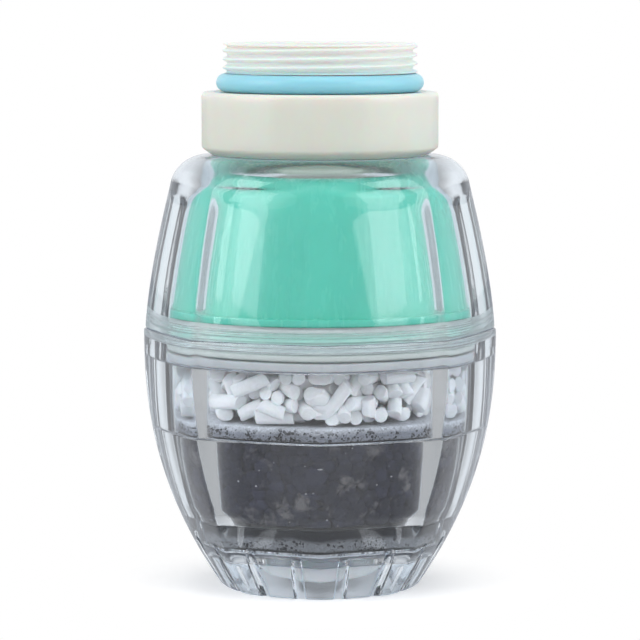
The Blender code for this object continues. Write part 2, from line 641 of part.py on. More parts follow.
def make_inlet_adapter():
    """One white moulding: a gripped collar over the stub, and the neck for the tap's nut."""
    neck_top = COLLAR_HEIGHT + NECK_HEIGHT
    ring_inner = RING_MAJOR_RADIUS - RING_SECTION / 2 - SIDE_GAP
    ring_outer = RING_MAJOR_RADIUS + RING_SECTION / 2 + SIDE_GAP
    ring_seat = COLLAR_HEIGHT - RING_SEAT_DEPTH
    ring_top = ring_seat + RING_SECTION + 2 * SEAT_GAP
    web_top = SOCKET_DEPTH + WEB_THICKNESS
    outline = [(NECK_BORE, neck_top), (NECK_RADIUS - EDGE, neck_top), (NECK_RADIUS, neck_top - EDGE)]
    outline += [(NECK_RADIUS, ring_top + EDGE), (NECK_RADIUS - EDGE, ring_top)]
    outline += [(ring_inner, ring_top), (ring_inner, ring_seat)]
    outline += [(ring_outer, ring_seat), (ring_outer, COLLAR_HEIGHT)]
    plain = len(outline)
    outline += [(COLLAR_RADIUS - EDGE, COLLAR_HEIGHT), (COLLAR_RADIUS, COLLAR_HEIGHT - EDGE)]
    outline += [(COLLAR_RADIUS, COLLAR_CHAMFER_HEIGHT), (COLLAR_RADIUS - COLLAR_CHAMFER_WIDTH, 0.0)]
    gripped = len(outline)
    outline += [(SOCKET_RADIUS + EDGE, 0.0), (SOCKET_RADIUS, EDGE), (SOCKET_RADIUS, SOCKET_DEPTH)]
    outline += [(WATER_HOLE, SOCKET_DEPTH), (WATER_HOLE, web_top), (NECK_BORE, web_top)]
    bulges = [1.0] * plain + [COLLAR_BULGE] * (gripped - plain) + [1.0] * (len(outline) - gripped)
    return faceted("inlet_adapter", outline, WHITE, ADAPTER_Z, COLLAR_SIDES, bulges)


def make_adapter_fittings():
    """The washer over the stub, the screen on the web, and the ring under the tap's nut."""
    washer_radius = SOCKET_RADIUS - SIDE_GAP
    ring("adapter_washer", STUB_BORE, washer_radius, WASHER_THICKNESS, RUBBER, WASHER_Z)
    radius = NECK_BORE - SIDE_GAP
    screen = disc("inlet_screen", radius, SCREEN_THICKNESS, STEEL, SCREEN_Z)
    bottom = SCREEN_Z - SCREEN_THICKNESS
    top = SCREEN_Z + 2 * SCREEN_THICKNESS
    punch(screen, radius, SCREEN_HOLE_PITCH, SCREEN_HOLE_RADIUS, bottom, top)
    section = arc(RING_MAJOR_RADIUS, 0.0, RING_SECTION / 2, 180, -180, RING_SIDES)[:-1]
    turned("neck_o_ring", section, BLUE, RING_Z)


def hang_on_screws():
    """Two empties on the axis carry what unscrews: the upper half, and on it the adapter."""
    housing_screw = bpy.data.objects.new("housing_screw", None)
    housing_screw.location.z = SEAM_Z
    adapter_screw = bpy.data.objects.new("adapter_screw", None)
    adapter_screw.location.z = ADAPTER_Z - SEAM_Z
    adapter_screw.parent = housing_screw
    upper = ["seam_gasket", "upper_housing", "green_bell", "cotton_pad", "bell_gasket"]
    upper += ["bell_felt", "bell_cap", "bell_cap_slots"]
    top = ["adapter_washer", "inlet_adapter", "inlet_screen", "inlet_screen_holes", "neck_o_ring"]
    for screw, z, names in ((housing_screw, SEAM_Z, upper), (adapter_screw, ADAPTER_Z, top)):
        PARTS.objects.link(screw)
        for name in names:
            piece = bpy.data.objects[name]
            piece.parent = screw
            piece.location.z -= z


make_lower_housing()
make_outlet_strainer()
make_outlet_mesh()
make_felts()
make_carbon_bed()
make_rod_bed()
make_media_lid()
make_seam_gasket()
make_upper_housing()
make_bell()
make_cotton_pad()
make_bell_fittings()
make_inlet_adapter()
make_adapter_fittings()
hang_on_screws()
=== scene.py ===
"""Looks of a faucet mount water filter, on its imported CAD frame.

The pieces come in the order in which the filter is put together: the clear lower housing
and what it holds, the clear upper housing with its green bell, then the white inlet
adapter. The camera, the floor and the light come last.
"""

import math
import random

import bmesh
import bpy
import numpy as np
from mathutils import Matrix, Vector, noise


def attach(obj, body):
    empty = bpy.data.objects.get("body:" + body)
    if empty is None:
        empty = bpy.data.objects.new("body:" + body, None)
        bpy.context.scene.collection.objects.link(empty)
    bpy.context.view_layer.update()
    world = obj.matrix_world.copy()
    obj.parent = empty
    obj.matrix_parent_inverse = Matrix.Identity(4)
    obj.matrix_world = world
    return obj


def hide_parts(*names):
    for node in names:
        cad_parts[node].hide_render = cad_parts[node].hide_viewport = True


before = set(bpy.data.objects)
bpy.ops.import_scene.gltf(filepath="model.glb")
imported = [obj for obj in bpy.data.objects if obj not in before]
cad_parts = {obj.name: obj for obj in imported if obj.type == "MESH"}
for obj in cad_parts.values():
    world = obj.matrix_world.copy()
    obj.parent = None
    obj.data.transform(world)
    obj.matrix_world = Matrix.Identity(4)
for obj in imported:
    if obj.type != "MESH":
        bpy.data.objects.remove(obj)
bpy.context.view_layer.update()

# ---- Lower housing
# A thick eight-sided cup of clear plastic, moulded in one piece. Its ridges are rounded, its
# chambers are turned round, and round-headed flutes are sunk in the skirt below its floor.
mm = 0.001
lower_height = 44.05 * mm
lower_rim = 44.3 * mm
rim_radius = 30.2 * mm
foot_taper = 13.2 * mm
lower_curve = 2.34
facet_middle = 0.9429
facet_bulge = 0.25
foot_bulge = 0.7
ridge_rounding = math.radians(1.2)
skirt_wall = 2.0 * mm
floor_bottom = 6.4 * mm
floor_top = 8.1 * mm
drain_radius = 9.9 * mm
felt_well_radius = 19.4 * mm
felt_well_top = 13.2 * mm
carbon_well_start = 19.3 * mm
carbon_well_foot = 15.2 * mm
carbon_well_foot_radius = 20.3 * mm
carbon_well_top = 27.7 * mm
carbon_well_top_radius = 22.3 * mm
rod_well_radius = 23.4 * mm
lid_ledge = 39.4 * mm
flute_count = 16
flute_top = 7.8 * mm
flute_radius = 1.1 * mm
flute_depth = 0.6 * mm
bore_radius = 26.4 * mm
bore_thread_start = 42.6 * mm
bore_thread_end = lower_rim - 0.3 * mm
bore_thread_depth = 0.22 * mm
seam_thread_pitch = 0.75 * mm
matt_radius = 27.2 * mm
matt_bottom = 41.6 * mm
clear_tint = (0.90, 0.925, 0.955)
edge_tint = (0.62, 0.75, 0.86)


def facet_share(angle, sides, bulge, rounding):
    """How far a round-ridged facet draws a circle in at this angle, 1 on each ridge."""
    half = math.pi / sides
    off_ridge = abs((angle + half) % (2 * half) - half)
    off_ridge = math.hypot(off_ridge, rounding * (1 - off_ridge / half))
    flat = math.cos(half) / math.cos(half - off_ridge)
    ridge = math.cos(half) / math.cos(half - rounding)
    return (flat * (1 - bulge) + bulge) / (ridge * (1 - bulge) + bulge)


def lower_ridge(z):
    below_rim = (lower_height - z) / lower_height
    return rim_radius - foot_taper * max(0.0, below_rim) ** lower_curve


def spread(start, end, count):
    return [start + (end - start) * i / count for i in range(count + 1)]


def bevel(bm, geom, offset, segments, affect="EDGES"):
    bmesh.ops.bevel(
        bm, geom=geom, offset=offset, offset_type="OFFSET", segments=segments, profile=0.5,
        affect=affect, clamp_overlap=True, material=-1,
    )


def spin_round(bm, steps):
    """Spins an outline once round the axis to a closed solid."""
    bmesh.ops.spin(
        bm, geom=bm.verts[:] + bm.edges[:], cent=(0, 0, 0), axis=(0, 0, 1),
        angle=2 * math.pi, steps=steps, use_merge=True,
    )
    bmesh.ops.remove_doubles(bm, verts=bm.verts, dist=mm / 1000)
    bmesh.ops.recalc_face_normals(bm, faces=bm.faces)


def turn(outline, steps=192):
    """A solid turned from its outline of (radius, height) points, or (radius, height, fillet)."""
    bm = bmesh.new()
    verts = [bm.verts.new((point[0], 0.0, point[1])) for point in outline]
    for pair in zip(verts, verts[1:]):
        bm.edges.new(pair)
    if outline[0][0] > 0 or outline[-1][0] > 0:
        bm.edges.new((verts[-1], verts[0]))
    for fillet in sorted({point[2] for point in outline if len(point) == 3}):
        corners = [v for v, point in zip(verts, outline) if point[2:] == (fillet,)]
        bevel(bm, corners, fillet, 3, "VERTICES")
    spin_round(bm, steps)
    return bm


def from_axis(vert):
    return math.hypot(vert.co.x, vert.co.y)


def pull_in(vert, share):
    """Brings a point to this share of its distance from the axis."""
    vert.co.x *= share
    vert.co.y *= share


def draw_in(bm, sides, bulge_at, rounding):
    """Draws a turned solid's outer side in to facets. bulge_at gives none for an inner point."""
    for vert in bm.verts:
        bulge = bulge_at(from_axis(vert), vert.co.z)
        if bulge is not None:
            angle = math.atan2(vert.co.y, vert.co.x)
            pull_in(vert, facet_share(angle, sides, bulge, rounding))


def cut_thread(bm, radius, depth, pitch, start, end, crest):
    """Draws a cylinder in along a right-hand helix, but for its crests.

    A negative depth cuts the thread of a bore. crest is a height at which a crest passes +X.
    """
    for vert in bm.verts:
        reach = from_axis(vert)
        if abs(reach - radius) > mm / 20 or not start < vert.co.z < end:
            continue
        turns = (vert.co.z - crest) / pitch - math.atan2(vert.co.y, vert.co.x) / (2 * math.pi)
        off_crest = abs(turns - round(turns)) * 2
        runout = min(1.0, (vert.co.z - start) / pitch * 2, (end - vert.co.z) / pitch * 2)
        groove = 0.5 - 0.5 * math.cos(math.pi * min(1.0, max(0.0, off_crest - 0.08) / 0.8))
        pull_in(vert, 1 - depth * groove * runout / reach)


def as_object(bm, name):
    mesh = bpy.data.meshes.new(name)
    bm.to_mesh(mesh)
    bm.free()
    obj = bpy.data.objects.new(name, mesh)
    bpy.context.scene.collection.objects.link(obj)
    return obj


def smooth(mesh, sharp):
    """Shades a mesh smooth, but for edges sharper than this angle."""
    mesh.shade_smooth()
    mesh.set_sharp_from_angle(angle=math.radians(sharp))


def piece(bm, name, material, body, slot, *nodes, sharp=40):
    """The mesh as a finished piece on its body, in place of the CAD nodes it stands for."""
    obj = as_object(bm, name)
    smooth(obj.data, sharp)
    obj.data.materials.append(material)
    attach(obj, body)
    if nodes:
        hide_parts(*nodes)
    return obj


def carve(obj, cutter_bm):
    """Cuts the cutter's shape out of a piece."""
    cutter = as_object(cutter_bm, "cutter")
    boolean = obj.modifiers.new("carve", "BOOLEAN")
    boolean.operation = "DIFFERENCE"
    boolean.solver = "EXACT"
    boolean.object = cutter
    bpy.context.view_layer.update()
    graph = bpy.context.evaluated_depsgraph_get()
    carved = bpy.data.meshes.new_from_object(obj.evaluated_get(graph))
    obj.modifiers.clear()
    obj.data = carved
    smooth(carved, 35)
    bpy.data.objects.remove(cutter)


def node(tree, kind, inputs=None, **settings):
    """A shader node. Each input is a number, a colour or the socket that feeds it."""
    made = tree.nodes.new("ShaderNode" + kind)
    for setting, value in settings.items():
        setattr(made, setting, value)
    for socket, value in (inputs or {}).items():
        if isinstance(value, bpy.types.NodeSocket):
            tree.links.new(value, made.inputs[socket])
        else:
            made.inputs[socket].default_value = value
    return made


def blend(tree, mask, first, second):
    """One colour blended to another by a mask. A Mix node's colours are its inputs 6 and 7."""
    ends = [(*end, 1.0) if isinstance(end, tuple) else end for end in (first, second)]
    return node(tree, "Mix", {0: mask, 6: ends[0], 7: ends[1]}, data_type="RGBA").outputs[2]


def calc(tree, operation, *numbers, clamp=False):
    """What a Math node makes of these numbers and sockets."""
    made = node(tree, "Math", dict(enumerate(numbers)), operation=operation, use_clamp=clamp)
    return made.outputs["Value"]


def ramp(tree, value, start, end, low=0.0, high=1.0, kind="LINEAR"):
    """A number that goes from low to high while the value goes from start to end."""
    made = node(tree, "MapRange", {
        "Value": value, "From Min": start, "From Max": end, "To Min": low, "To Max": high,
    }, interpolation_type=kind)
    return made.outputs["Result"]


def on_object(tree):
    return node(tree, "TexCoord").outputs["Object"]


def grain(tree, scale, detail, roughness=0.5, distortion=0.0, vector=None):
    """Soft noise over a piece."""
    made = node(tree, "TexNoise", {
        "Vector": vector or on_object(tree), "Scale": scale, "Detail": detail,
        "Roughness": roughness, "Distortion": distortion,
    })
    return made.outputs["Fac"]


def effect(name, inputs, outputs):
    """A shader node group: its tree, the sockets that it is given and those that it feeds."""
    group = bpy.data.node_groups.new(name, "ShaderNodeTree")
    for socket, value in inputs.items():
        made = group.interface.new_socket(socket, in_out="INPUT", socket_type="NodeSocketFloat")
        made.default_value = value
    for socket in outputs:
        group.interface.new_socket(socket, in_out="OUTPUT", socket_type="NodeSocketFloat")
    given = group.nodes.new("NodeGroupInput").outputs
    return group, given, group.nodes.new("NodeGroupOutput").inputs


# The moulding effect: broad sink marks as a height, and fine upright scuffs as a mask.
moulding, given, result = effect("moulding", {"Sinks": 60.0, "Scuffs": 500.0}, ["Height", "Scuff"])
upright = node(moulding, "Mapping", {"Vector": on_object(moulding), "Scale": (1.0, 1.0, 0.12)})
scuffs = grain(moulding, given["Scuffs"], 4.0, 0.6, vector=upright.outputs["Vector"])
moulding.links.new(grain(moulding, given["Sinks"], 2.0), result["Height"])
moulding.links.new(ramp(moulding, scuffs, 0.55, 0.75), result["Scuff"])

# The specks effect: specks of many sizes, one in each of some cells, thicker in some places.
specks, given, result = effect("specks", {"Scale": 2000.0, "Size": 0.3, "Share": 0.3}, ["Mask"])
cells = node(specks, "TexVoronoi", {"Vector": on_object(specks), "Scale": given["Scale"]})
chance = node(specks, "SeparateColor", {"Color": cells.outputs["Color"]}).outputs
reach = calc(specks, "MULTIPLY", chance["Green"], given["Size"])
near = calc(specks, "LESS_THAN", cells.outputs["Distance"], reach)
thick = ramp(specks, grain(specks, 380.0, 1.0), 0.38, 0.62, 0.25, 1.75)
likely = calc(specks, "MULTIPLY", thick, given["Share"])
chosen = calc(specks, "LESS_THAN", chance["Red"], likely)
specks.links.new(calc(specks, "MULTIPLY", near, chosen), result["Mask"])


def finish(name, color, roughness, **sockets):
    """A Principled material: its tree and its shader come with it."""
    material = bpy.data.materials.new(name)
    material.use_nodes = True
    shader = material.node_tree.nodes["Principled BSDF"]
    shader.inputs["Base Color"].default_value = (*color, 1.0)
    shader.inputs["Roughness"].default_value = roughness
    for socket, value in sockets.items():
        shader.inputs[socket.replace("_", " ")].default_value = value
    return material, material.node_tree, shader


def feed(tree, group, **values):
    """The outputs of a node group that is placed in a material with its own values."""
    made = tree.nodes.new("ShaderNodeGroup")
    made.node_tree = group
    for socket, value in values.items():
        made.inputs[socket].default_value = value
    return made.outputs


def surface(tree, shader, color, rough=None, bump=None):
    """Feeds a shader: rough is (mask, least, most), and bump is (height, strength, depth)."""
    tree.links.new(color, shader.inputs["Base Color"])
    if rough:
        mask, least, most = rough
        tree.links.new(ramp(tree, mask, 0.0, 1.0, least, most), shader.inputs["Roughness"])
    if bump:
        made = node(tree, "Bump", dict(zip(("Height", "Strength", "Distance"), bump)))
        tree.links.new(made.outputs["Normal"], shader.inputs["Normal"])


def mix_out(tree, mask, first, second):
    """Sends two shaders, mixed by a mask, to a material's output."""
    mixed = node(tree, "MixShader", {0: mask, 1: first, 2: second})
    tree.links.new(mixed.outputs["Shader"], tree.nodes["Material Output"].inputs["Surface"])


def pass_light(tree, shader, color, share=1.0):
    """Lets this share of the lamps' light through, tinted, in place of a full shadow."""
    passing = node(tree, "LightPath").outputs["Is Shadow Ray"]
    if share < 1:
        passing = calc(tree, "MULTIPLY", passing, share)
    clear = node(tree, "BsdfTransparent", {"Color": (*color, 1.0)})
    mix_out(tree, passing, shader.outputs["BSDF"], clear.outputs["BSDF"])


clear_plastic, tree, shader = finish(
    "clear_plastic", clear_tint, 0.03, Transmission_Weight=1.0, IOR=1.5,
    Sheen_Weight=0.6, Sheen_Roughness=0.32, Sheen_Tint=(0.80, 0.87, 1.0, 1.0),
)
marks = feed(tree, moulding, Sinks=70.0, Scuffs=700.0)
slant = node(tree, "LayerWeight", {"Blend": 0.5}).outputs["Facing"]
tint = blend(tree, slant, clear_tint, edge_tint)
surface(tree, shader, tint, (marks["Scuff"], 0.045, 0.11), (marks["Height"], 0.25, 0.2 * mm))
pass_light(tree, shader, (0.97, 0.98, 0.99))

# Down the outside from the rim, then up inside the skirt, the drain and the chambers.
outline = [(lower_ridge(z), z) for z in spread(lower_rim, 0.0, 40)]
outline[0] = (*outline[0], 0.3 * mm)
outline[-1] = (*outline[-1], 0.5 * mm)
inner = [(lower_ridge(z) * facet_middle - skirt_wall, z) for z in spread(0.0, floor_bottom, 8)]
inner[0] = (*inner[0], 0.4 * mm)
inner[-1] = (*inner[-1], 0.4 * mm)
outline += inner + [
    (drain_radius, floor_bottom, 0.2 * mm), (drain_radius, floor_top, 0.2 * mm),
    (felt_well_radius, floor_top, 0.5 * mm), (felt_well_radius, felt_well_top, 0.25 * mm),
    (carbon_well_start, felt_well_top + mm / 100),
    (carbon_well_foot_radius, carbon_well_foot, 0.8 * mm),
    (carbon_well_top_radius, carbon_well_top, 0.3 * mm),
    (rod_well_radius, carbon_well_top, 0.3 * mm), (rod_well_radius, lid_ledge, 0.3 * mm),
    (bore_radius, lid_ledge, 0.3 * mm),
]
outline += [(bore_radius, z) for z in spread(bore_thread_start, bore_thread_end, 24)]
outline += [(bore_radius, lower_rim, 0.25 * mm)]


def lower_bulge(radius, z):
    if radius < 0.955 * lower_ridge(z):
        return None
    into_skirt = max(0.0, 1 - z / floor_top)
    return facet_bulge + (foot_bulge - facet_bulge) * into_skirt


def arc(radius_at, z_at, radius, start, end, count):
    """Points on a circle in the (radius, z) plane, angles in degrees."""
    angles = [math.radians(a) for a in spread(start, end, count)]
    return [(radius_at + radius * math.cos(a), z_at + radius * math.sin(a)) for a in angles]


def flutes():
    """Round-headed rods along the skirt's slope, sunk to the flutes' depth."""
    slope = math.atan2(lower_ridge(flute_top) - lower_ridge(0.0), flute_top)
    length = flute_top / math.cos(slope) + 3 * flute_radius
    first = math.pi / flute_count
    face = facet_share(first, 8, (facet_bulge + foot_bulge) / 2, ridge_rounding)
    axis_radius = lower_ridge(flute_top) * face + flute_radius - flute_depth
    head = arc(0.0, 0.0, flute_radius, 90, 0, 6)
    bm = turn(head + [(flute_radius, -length), (0.0, -length)], 24)
    lie = Matrix.Rotation(first, 4, "Z") @ Matrix.Translation((axis_radius, 0.0, flute_top))
    bmesh.ops.transform(bm, matrix=lie @ Matrix.Rotation(slope, 4, "Y"), verts=bm.verts)
    turn_by = 2 * math.pi / flute_count
    bmesh.ops.spin(
        bm, geom=bm.verts[:] + bm.edges[:] + bm.faces[:], cent=(0, 0, 0), axis=(0, 0, 1),
        angle=2 * math.pi - turn_by, steps=flute_count - 1, use_duplicate=True,
    )
    bmesh.ops.recalc_face_normals(bm, faces=bm.faces)
    return bm


matt_thread, tree, shader = finish(
    "matt_thread", (0.80, 0.88, 0.88), 0.5, Transmission_Weight=0.74, IOR=1.5
)
marks = feed(tree, moulding, Sinks=400.0, Scuffs=1500.0)
color = blend(tree, marks["Height"], (0.76, 0.86, 0.86), (0.84, 0.90, 0.91))
surface(tree, shader, color, (marks["Scuff"], 0.35, 0.6))
pass_light(tree, shader, (0.85, 0.88, 0.90))


def leave_matt(obj, low, high):
    """Gives the inner faces between two heights, at the screw thread, their matt finish."""
    obj.data.materials.append(matt_thread)
    for face in obj.data.polygons:
        middle = face.center
        if low < middle.z < high and math.hypot(middle.x, middle.y) < matt_radius:
            face.material_index = 1


housing = turn(outline, 320)
cut_thread(
    housing, bore_radius, -bore_thread_depth, seam_thread_pitch, bore_thread_start,
    bore_thread_end, lower_rim,
)
draw_in(housing, 8, lower_bulge, ridge_rounding)
lower_shell = piece(
    housing, "lower_shell", clear_plastic, "lower_housing", "clear_plastic", "lower_housing"
)
carve(lower_shell, flutes())
leave_matt(lower_shell, matt_bottom, lower_rim - mm / 100)

# ---- Outlet strainer
# A milky cup pressed into the floor from below. The water leaves through the round holes in
# its end, which are moulded, not drilled.
strainer_z = 2.8 * mm
strainer_face = strainer_z + 1.2 * mm
strainer_flange = strainer_z + 3.3 * mm
strainer_top = strainer_z + 5.3 * mm
strainer_radius = 11.2 * mm
strainer_collar = 9.6 * mm
strainer_cup_radius = 8.4 * mm
strainer_hole = 0.9 * mm
strainer_pitch = 3.3 * mm


def hole_rings(rings, pitch):
    """The centre, then rings of 6, 12 and so on."""
    places = [Vector((0.0, 0.0, 0.0))]
    for ring in range(1, rings + 1):
        for i in range(6 * ring):
            turn_by = Matrix.Rotation(2 * math.pi * i / (6 * ring), 3, "Z")
            places.append(turn_by @ Vector((pitch * ring, 0.0, 0.0)))
    return places


def hole_pins(places, radius, bottom, top, sides):
    bm = bmesh.new()
    for place in places:
        middle = Matrix.Translation(place + Vector((0.0, 0.0, (bottom + top) / 2)))
        bmesh.ops.create_cone(
            bm, cap_ends=True, segments=sides, radius1=radius, radius2=radius,
            depth=top - bottom, matrix=middle,
        )
    return bm


def milky_finish(name, pale, dull):
    material, tree, shader = finish(
        name, pale, 0.32, Subsurface_Weight=0.25, Subsurface_Scale=2 * mm
    )
    marks = feed(tree, moulding, Sinks=150.0, Scuffs=900.0)
    shade = blend(tree, marks["Scuff"], pale, dull)
    surface(tree, shader, shade, bump=(marks["Height"], 0.2, 0.1 * mm))
    return material


strainer = turn([
    (0.0, strainer_face), (strainer_cup_radius, strainer_face, 0.4 * mm),
    (strainer_cup_radius, strainer_top, 0.2 * mm), (strainer_collar, strainer_top, 0.2 * mm),
    (strainer_collar, strainer_flange, 0.1 * mm), (strainer_radius, strainer_flange, 0.2 * mm),
    (strainer_radius, strainer_z, 0.5 * mm), (0.0, strainer_z),
], 128)
# The cup is painted near white, far paler than the lid of the same milky plastic: painted light
# that makes up for the shade inside the skirt.
strainer_cup = piece(
    strainer, "strainer_cup", milky_finish("milky_cup_painted_light", (0.97, 0.97, 0.98), (0.90, 0.91, 0.92)),
    "lower_housing", "milky_plastic", "outlet_strainer",
)
carve(strainer_cup, hole_pins(
    hole_rings(2, strainer_pitch), strainer_hole, strainer_z - mm, strainer_z + 2 * mm, 24
))

# ---- Outlet mesh
# A disc of woven stainless wire that lies on the floor under the felt and holds the carbon's
# fines back. It is shown on its CAD piece.
def dress(name, material):
    """Gives a CAD piece that is shown as it is its finish."""
    for material_slot in bpy.data.objects[name].material_slots:
        material_slot.material = material


woven_steel, tree, shader = finish("woven_steel", (0.62, 0.63, 0.65), 0.3, Metallic=1.0)
threads = [
    node(tree, "TexWave", {"Vector": on_object(tree), "Scale": 320.0}, bands_direction=way)
    for way in "XY"
]
wires = calc(tree, "MAXIMUM", *[thread.outputs["Fac"] for thread in threads])
color = blend(tree, wires, (0.08, 0.08, 0.09), (0.66, 0.67, 0.69))
surface(tree, shader, color, bump=(wires, 1.0, 0.15 * mm))
dress("outlet_mesh", woven_steel)

# ---- Felts of the lower housing
# Thick discs of white needled felt, cut from sheet. Their grey changes with height, as carbon
# dust and painted light. The lower felt is painted near black at its top, where the carbon lies
# on it, which is painted shade as well as dust. The upper felt is grey at its foot from the
# carbon's dust, and painted pale on top, as painted light against the shade under the rods. Black
# specks of carbon are caught in their fibres.
lower_felt_z = 9.1 * mm
lower_felt_depth = 4.1 * mm
lower_felt_radius = 19.1 * mm
upper_felt_z = 28.0 * mm
upper_felt_depth = 2.4 * mm
upper_felt_radius = 23.1 * mm


def roughen(bm, depth, size, seed):
    """Sinks the surface unevenly along its normals, in lumps of this size."""
    bm.normal_update()
    offset = Vector((seed, seed * 2.7, seed * 1.3))
    for vert in bm.verts:
        lump = 0.5 + 0.5 * noise.noise(vert.co / size + offset)
        fine = 0.5 + 0.5 * noise.noise(vert.co / (size * 0.35) + offset)
        vert.co -= vert.normal * depth * (0.65 * lump + 0.35 * fine)


def felt_disc(radius, z, depth, seed):
    rows = max(3, round(depth / (0.6 * mm)))
    outline = [(0.0, z + depth)]
    outline += [(r, z + depth) for r in spread(radius / 3, radius * 0.97, 6)]
    outline += [(radius, z + depth, 0.35 * mm)]
    outline += [(radius, level) for level in spread(z + depth, z, rows)[1:-1]]
    outline += [(radius, z, 0.35 * mm), (0.0, z)]
    bm = turn(outline, 256)
    roughen(bm, 0.18 * mm, 1.1 * mm, seed)
    return bm


# The fibres effect: matted fibres as a mask and a height.
fibres, given, result = effect("fibres", {"Scale": 900.0}, ["Mask", "Height"])
strands = grain(fibres, given["Scale"], 5.0, 0.7, 2.5)
fibres.links.new(ramp(fibres, strands, 0.35, 0.65), result["Mask"])
fibres.links.new(strands, result["Height"])

# The level effect: a mask that rises from one height to another, with a wavering edge.
level, given, result = effect("level", {"From": 0.0, "To": 0.01, "Waver": 0.0005}, ["Mask"])
height = node(level, "SeparateXYZ", {"Vector": on_object(level)}).outputs["Z"]
centred = calc(level, "SUBTRACT", grain(level, 180.0, 3.0), 0.5)
shifted = calc(level, "MULTIPLY_ADD", centred, given["Waver"], height)
mask = ramp(level, shifted, given["From"], given["To"], kind="SMOOTHSTEP")
level.links.new(mask, result["Mask"])


def felt_finish(name, low, high, start, end, waver, speck_share):
    """Felt that goes from one grey to another with height, with fibres and carbon specks."""
    material, tree, shader = finish(name, low, 0.95, Specular_IOR_Level=0.1, Sheen_Weight=0.12)
    matting = feed(tree, fibres, Scale=1400.0)
    # A height mask for carbon dust and painted light: painted shade at the top of the lower felt,
    # painted light at the top of the upper one.
    dust_and_painted_light = feed(tree, level, From=start, To=end, Waver=waver)["Mask"]
    dots = feed(tree, specks, Scale=2000.0, Size=0.75, Share=speck_share)["Mask"]
    caught = calc(tree, "MULTIPLY", dots, calc(tree, "SUBTRACT", 1.15, dust_and_painted_light), clamp=True)
    ground = blend(tree, dust_and_painted_light, low, high)
    shade = ramp(tree, matting["Mask"], 0.0, 1.0, 0.62, 1.32)
    shaded = node(tree, "VectorMath", {0: ground, "Scale": shade}, operation="SCALE")
    color = blend(tree, caught, shaded.outputs["Vector"], (0.02, 0.02, 0.024))
    surface(tree, shader, color, bump=(matting["Height"], 0.8, 0.25 * mm))
    return material


# Painted shade: the lower felt goes near black towards its top, under the carbon, along with the
# carbon's dust.
lower_felt_finish = felt_finish(
    "felt_lower", (0.22, 0.225, 0.24), (0.010, 0.011, 0.017),
    lower_felt_z + 1.5 * mm, lower_felt_z + 2.7 * mm, 2.0 * mm, 0.42,
)
# Painted light: the upper felt is paler on top, against the shade under the rods, over the grey of
# the carbon's dust below.
upper_felt_finish = felt_finish(
    "felt_upper", (0.24, 0.25, 0.29), (0.72, 0.73, 0.77),
    upper_felt_z + 0.9 * mm, upper_felt_z + 2.5 * mm, 1.6 * mm, 0.5,
)
piece(
    felt_disc(lower_felt_radius, lower_felt_z, lower_felt_depth, 3.0), "felt_under_carbon",
    lower_felt_finish, "lower_housing", "felt", "lower_felt",
)
piece(
    felt_disc(upper_felt_radius, upper_felt_z, upper_felt_depth, 8.0), "felt_over_carbon",
    upper_felt_finish, "lower_housing", "felt", "upper_felt",
)

# ---- Carbon bed
# Pressed carbon granules of a few millimetres, packed between the felts. Those at the wall
# lie flat on it and are dusted with carbon powder, and a few show a paler broken face.
carbon_z = 13.5 * mm
carbon_foot_radius = 20.0 * mm
carbon_top_radius = 22.0 * mm
granule_radius = 1.45 * mm
granule_spacing = 2.15 * mm
granule_rows = 8


def carbon_wall(z):
    """Radius at which the granules lie on the chamber's wall."""
    up = (z - carbon_well_foot) / (carbon_well_top - carbon_well_foot)
    radius = carbon_foot_radius + (carbon_top_radius - carbon_foot_radius) * up
    return radius - max(0.0, carbon_well_foot - z) * 0.55


def round_axis(reach, angle, z):
    return Vector((reach * math.cos(angle), reach * math.sin(angle), z))


def granules():
    """A dark core, and lumpy granules over its side, pressed flat where they meet the wall."""
    chance = random.Random(11)
    side = [(carbon_wall(z) - 0.25 * mm, z) for z in spread(carbon_well_top, carbon_z, 20)]
    bm = turn([(0.0, carbon_well_top)] + side + [(0.0, carbon_z)], 200)
    roughen(bm, 0.4 * mm, 1.3 * mm, 5.0)
    shade = bm.verts.layers.float.new("shade")
    for vert in bm.verts:
        vert[shade] = 0.3
    rows = spread(carbon_z + 0.9 * mm, carbon_well_top - 0.9 * mm, granule_rows)
    for row, row_z in enumerate(rows):
        around = int(2 * math.pi * carbon_wall(row_z) / granule_spacing)
        for i in range(around):
            lump = bmesh.ops.create_icosphere(bm, subdivisions=2, radius=granule_radius)
            angle = 2 * math.pi * (i + 0.5 * (row % 2) + chance.uniform(-0.28, 0.28)) / around
            z = row_z + chance.uniform(-0.45, 0.45) * mm
            reach = carbon_wall(z) - chance.uniform(0.55, 1.25) * mm
            size = Matrix.Diagonal([chance.uniform(0.75, 1.2) for _ in range(3)])
            spin = Matrix.Rotation(chance.uniform(0, math.pi), 3, "Z")
            tilt = Matrix.Rotation(chance.uniform(0, math.pi), 3, "X")
            pale = chance.random() ** 5
            centre = round_axis(reach, angle, z)
            bend = Vector([chance.uniform(0, 40) for _ in range(3)])
            for vert in lump["verts"]:
                edge = 1 + 0.28 * noise.noise(vert.co / (0.9 * mm) + bend)
                vert.co = centre + tilt @ spin @ size @ vert.co * edge
                vert.co.z = min(max(vert.co.z, carbon_z), carbon_well_top)
                wall = carbon_wall(vert.co.z) / from_axis(vert)
                if wall < 1:
                    pull_in(vert, wall)
                vert[shade] = 0.25 + 0.25 * chance.random() + 0.5 * pale
    return bm


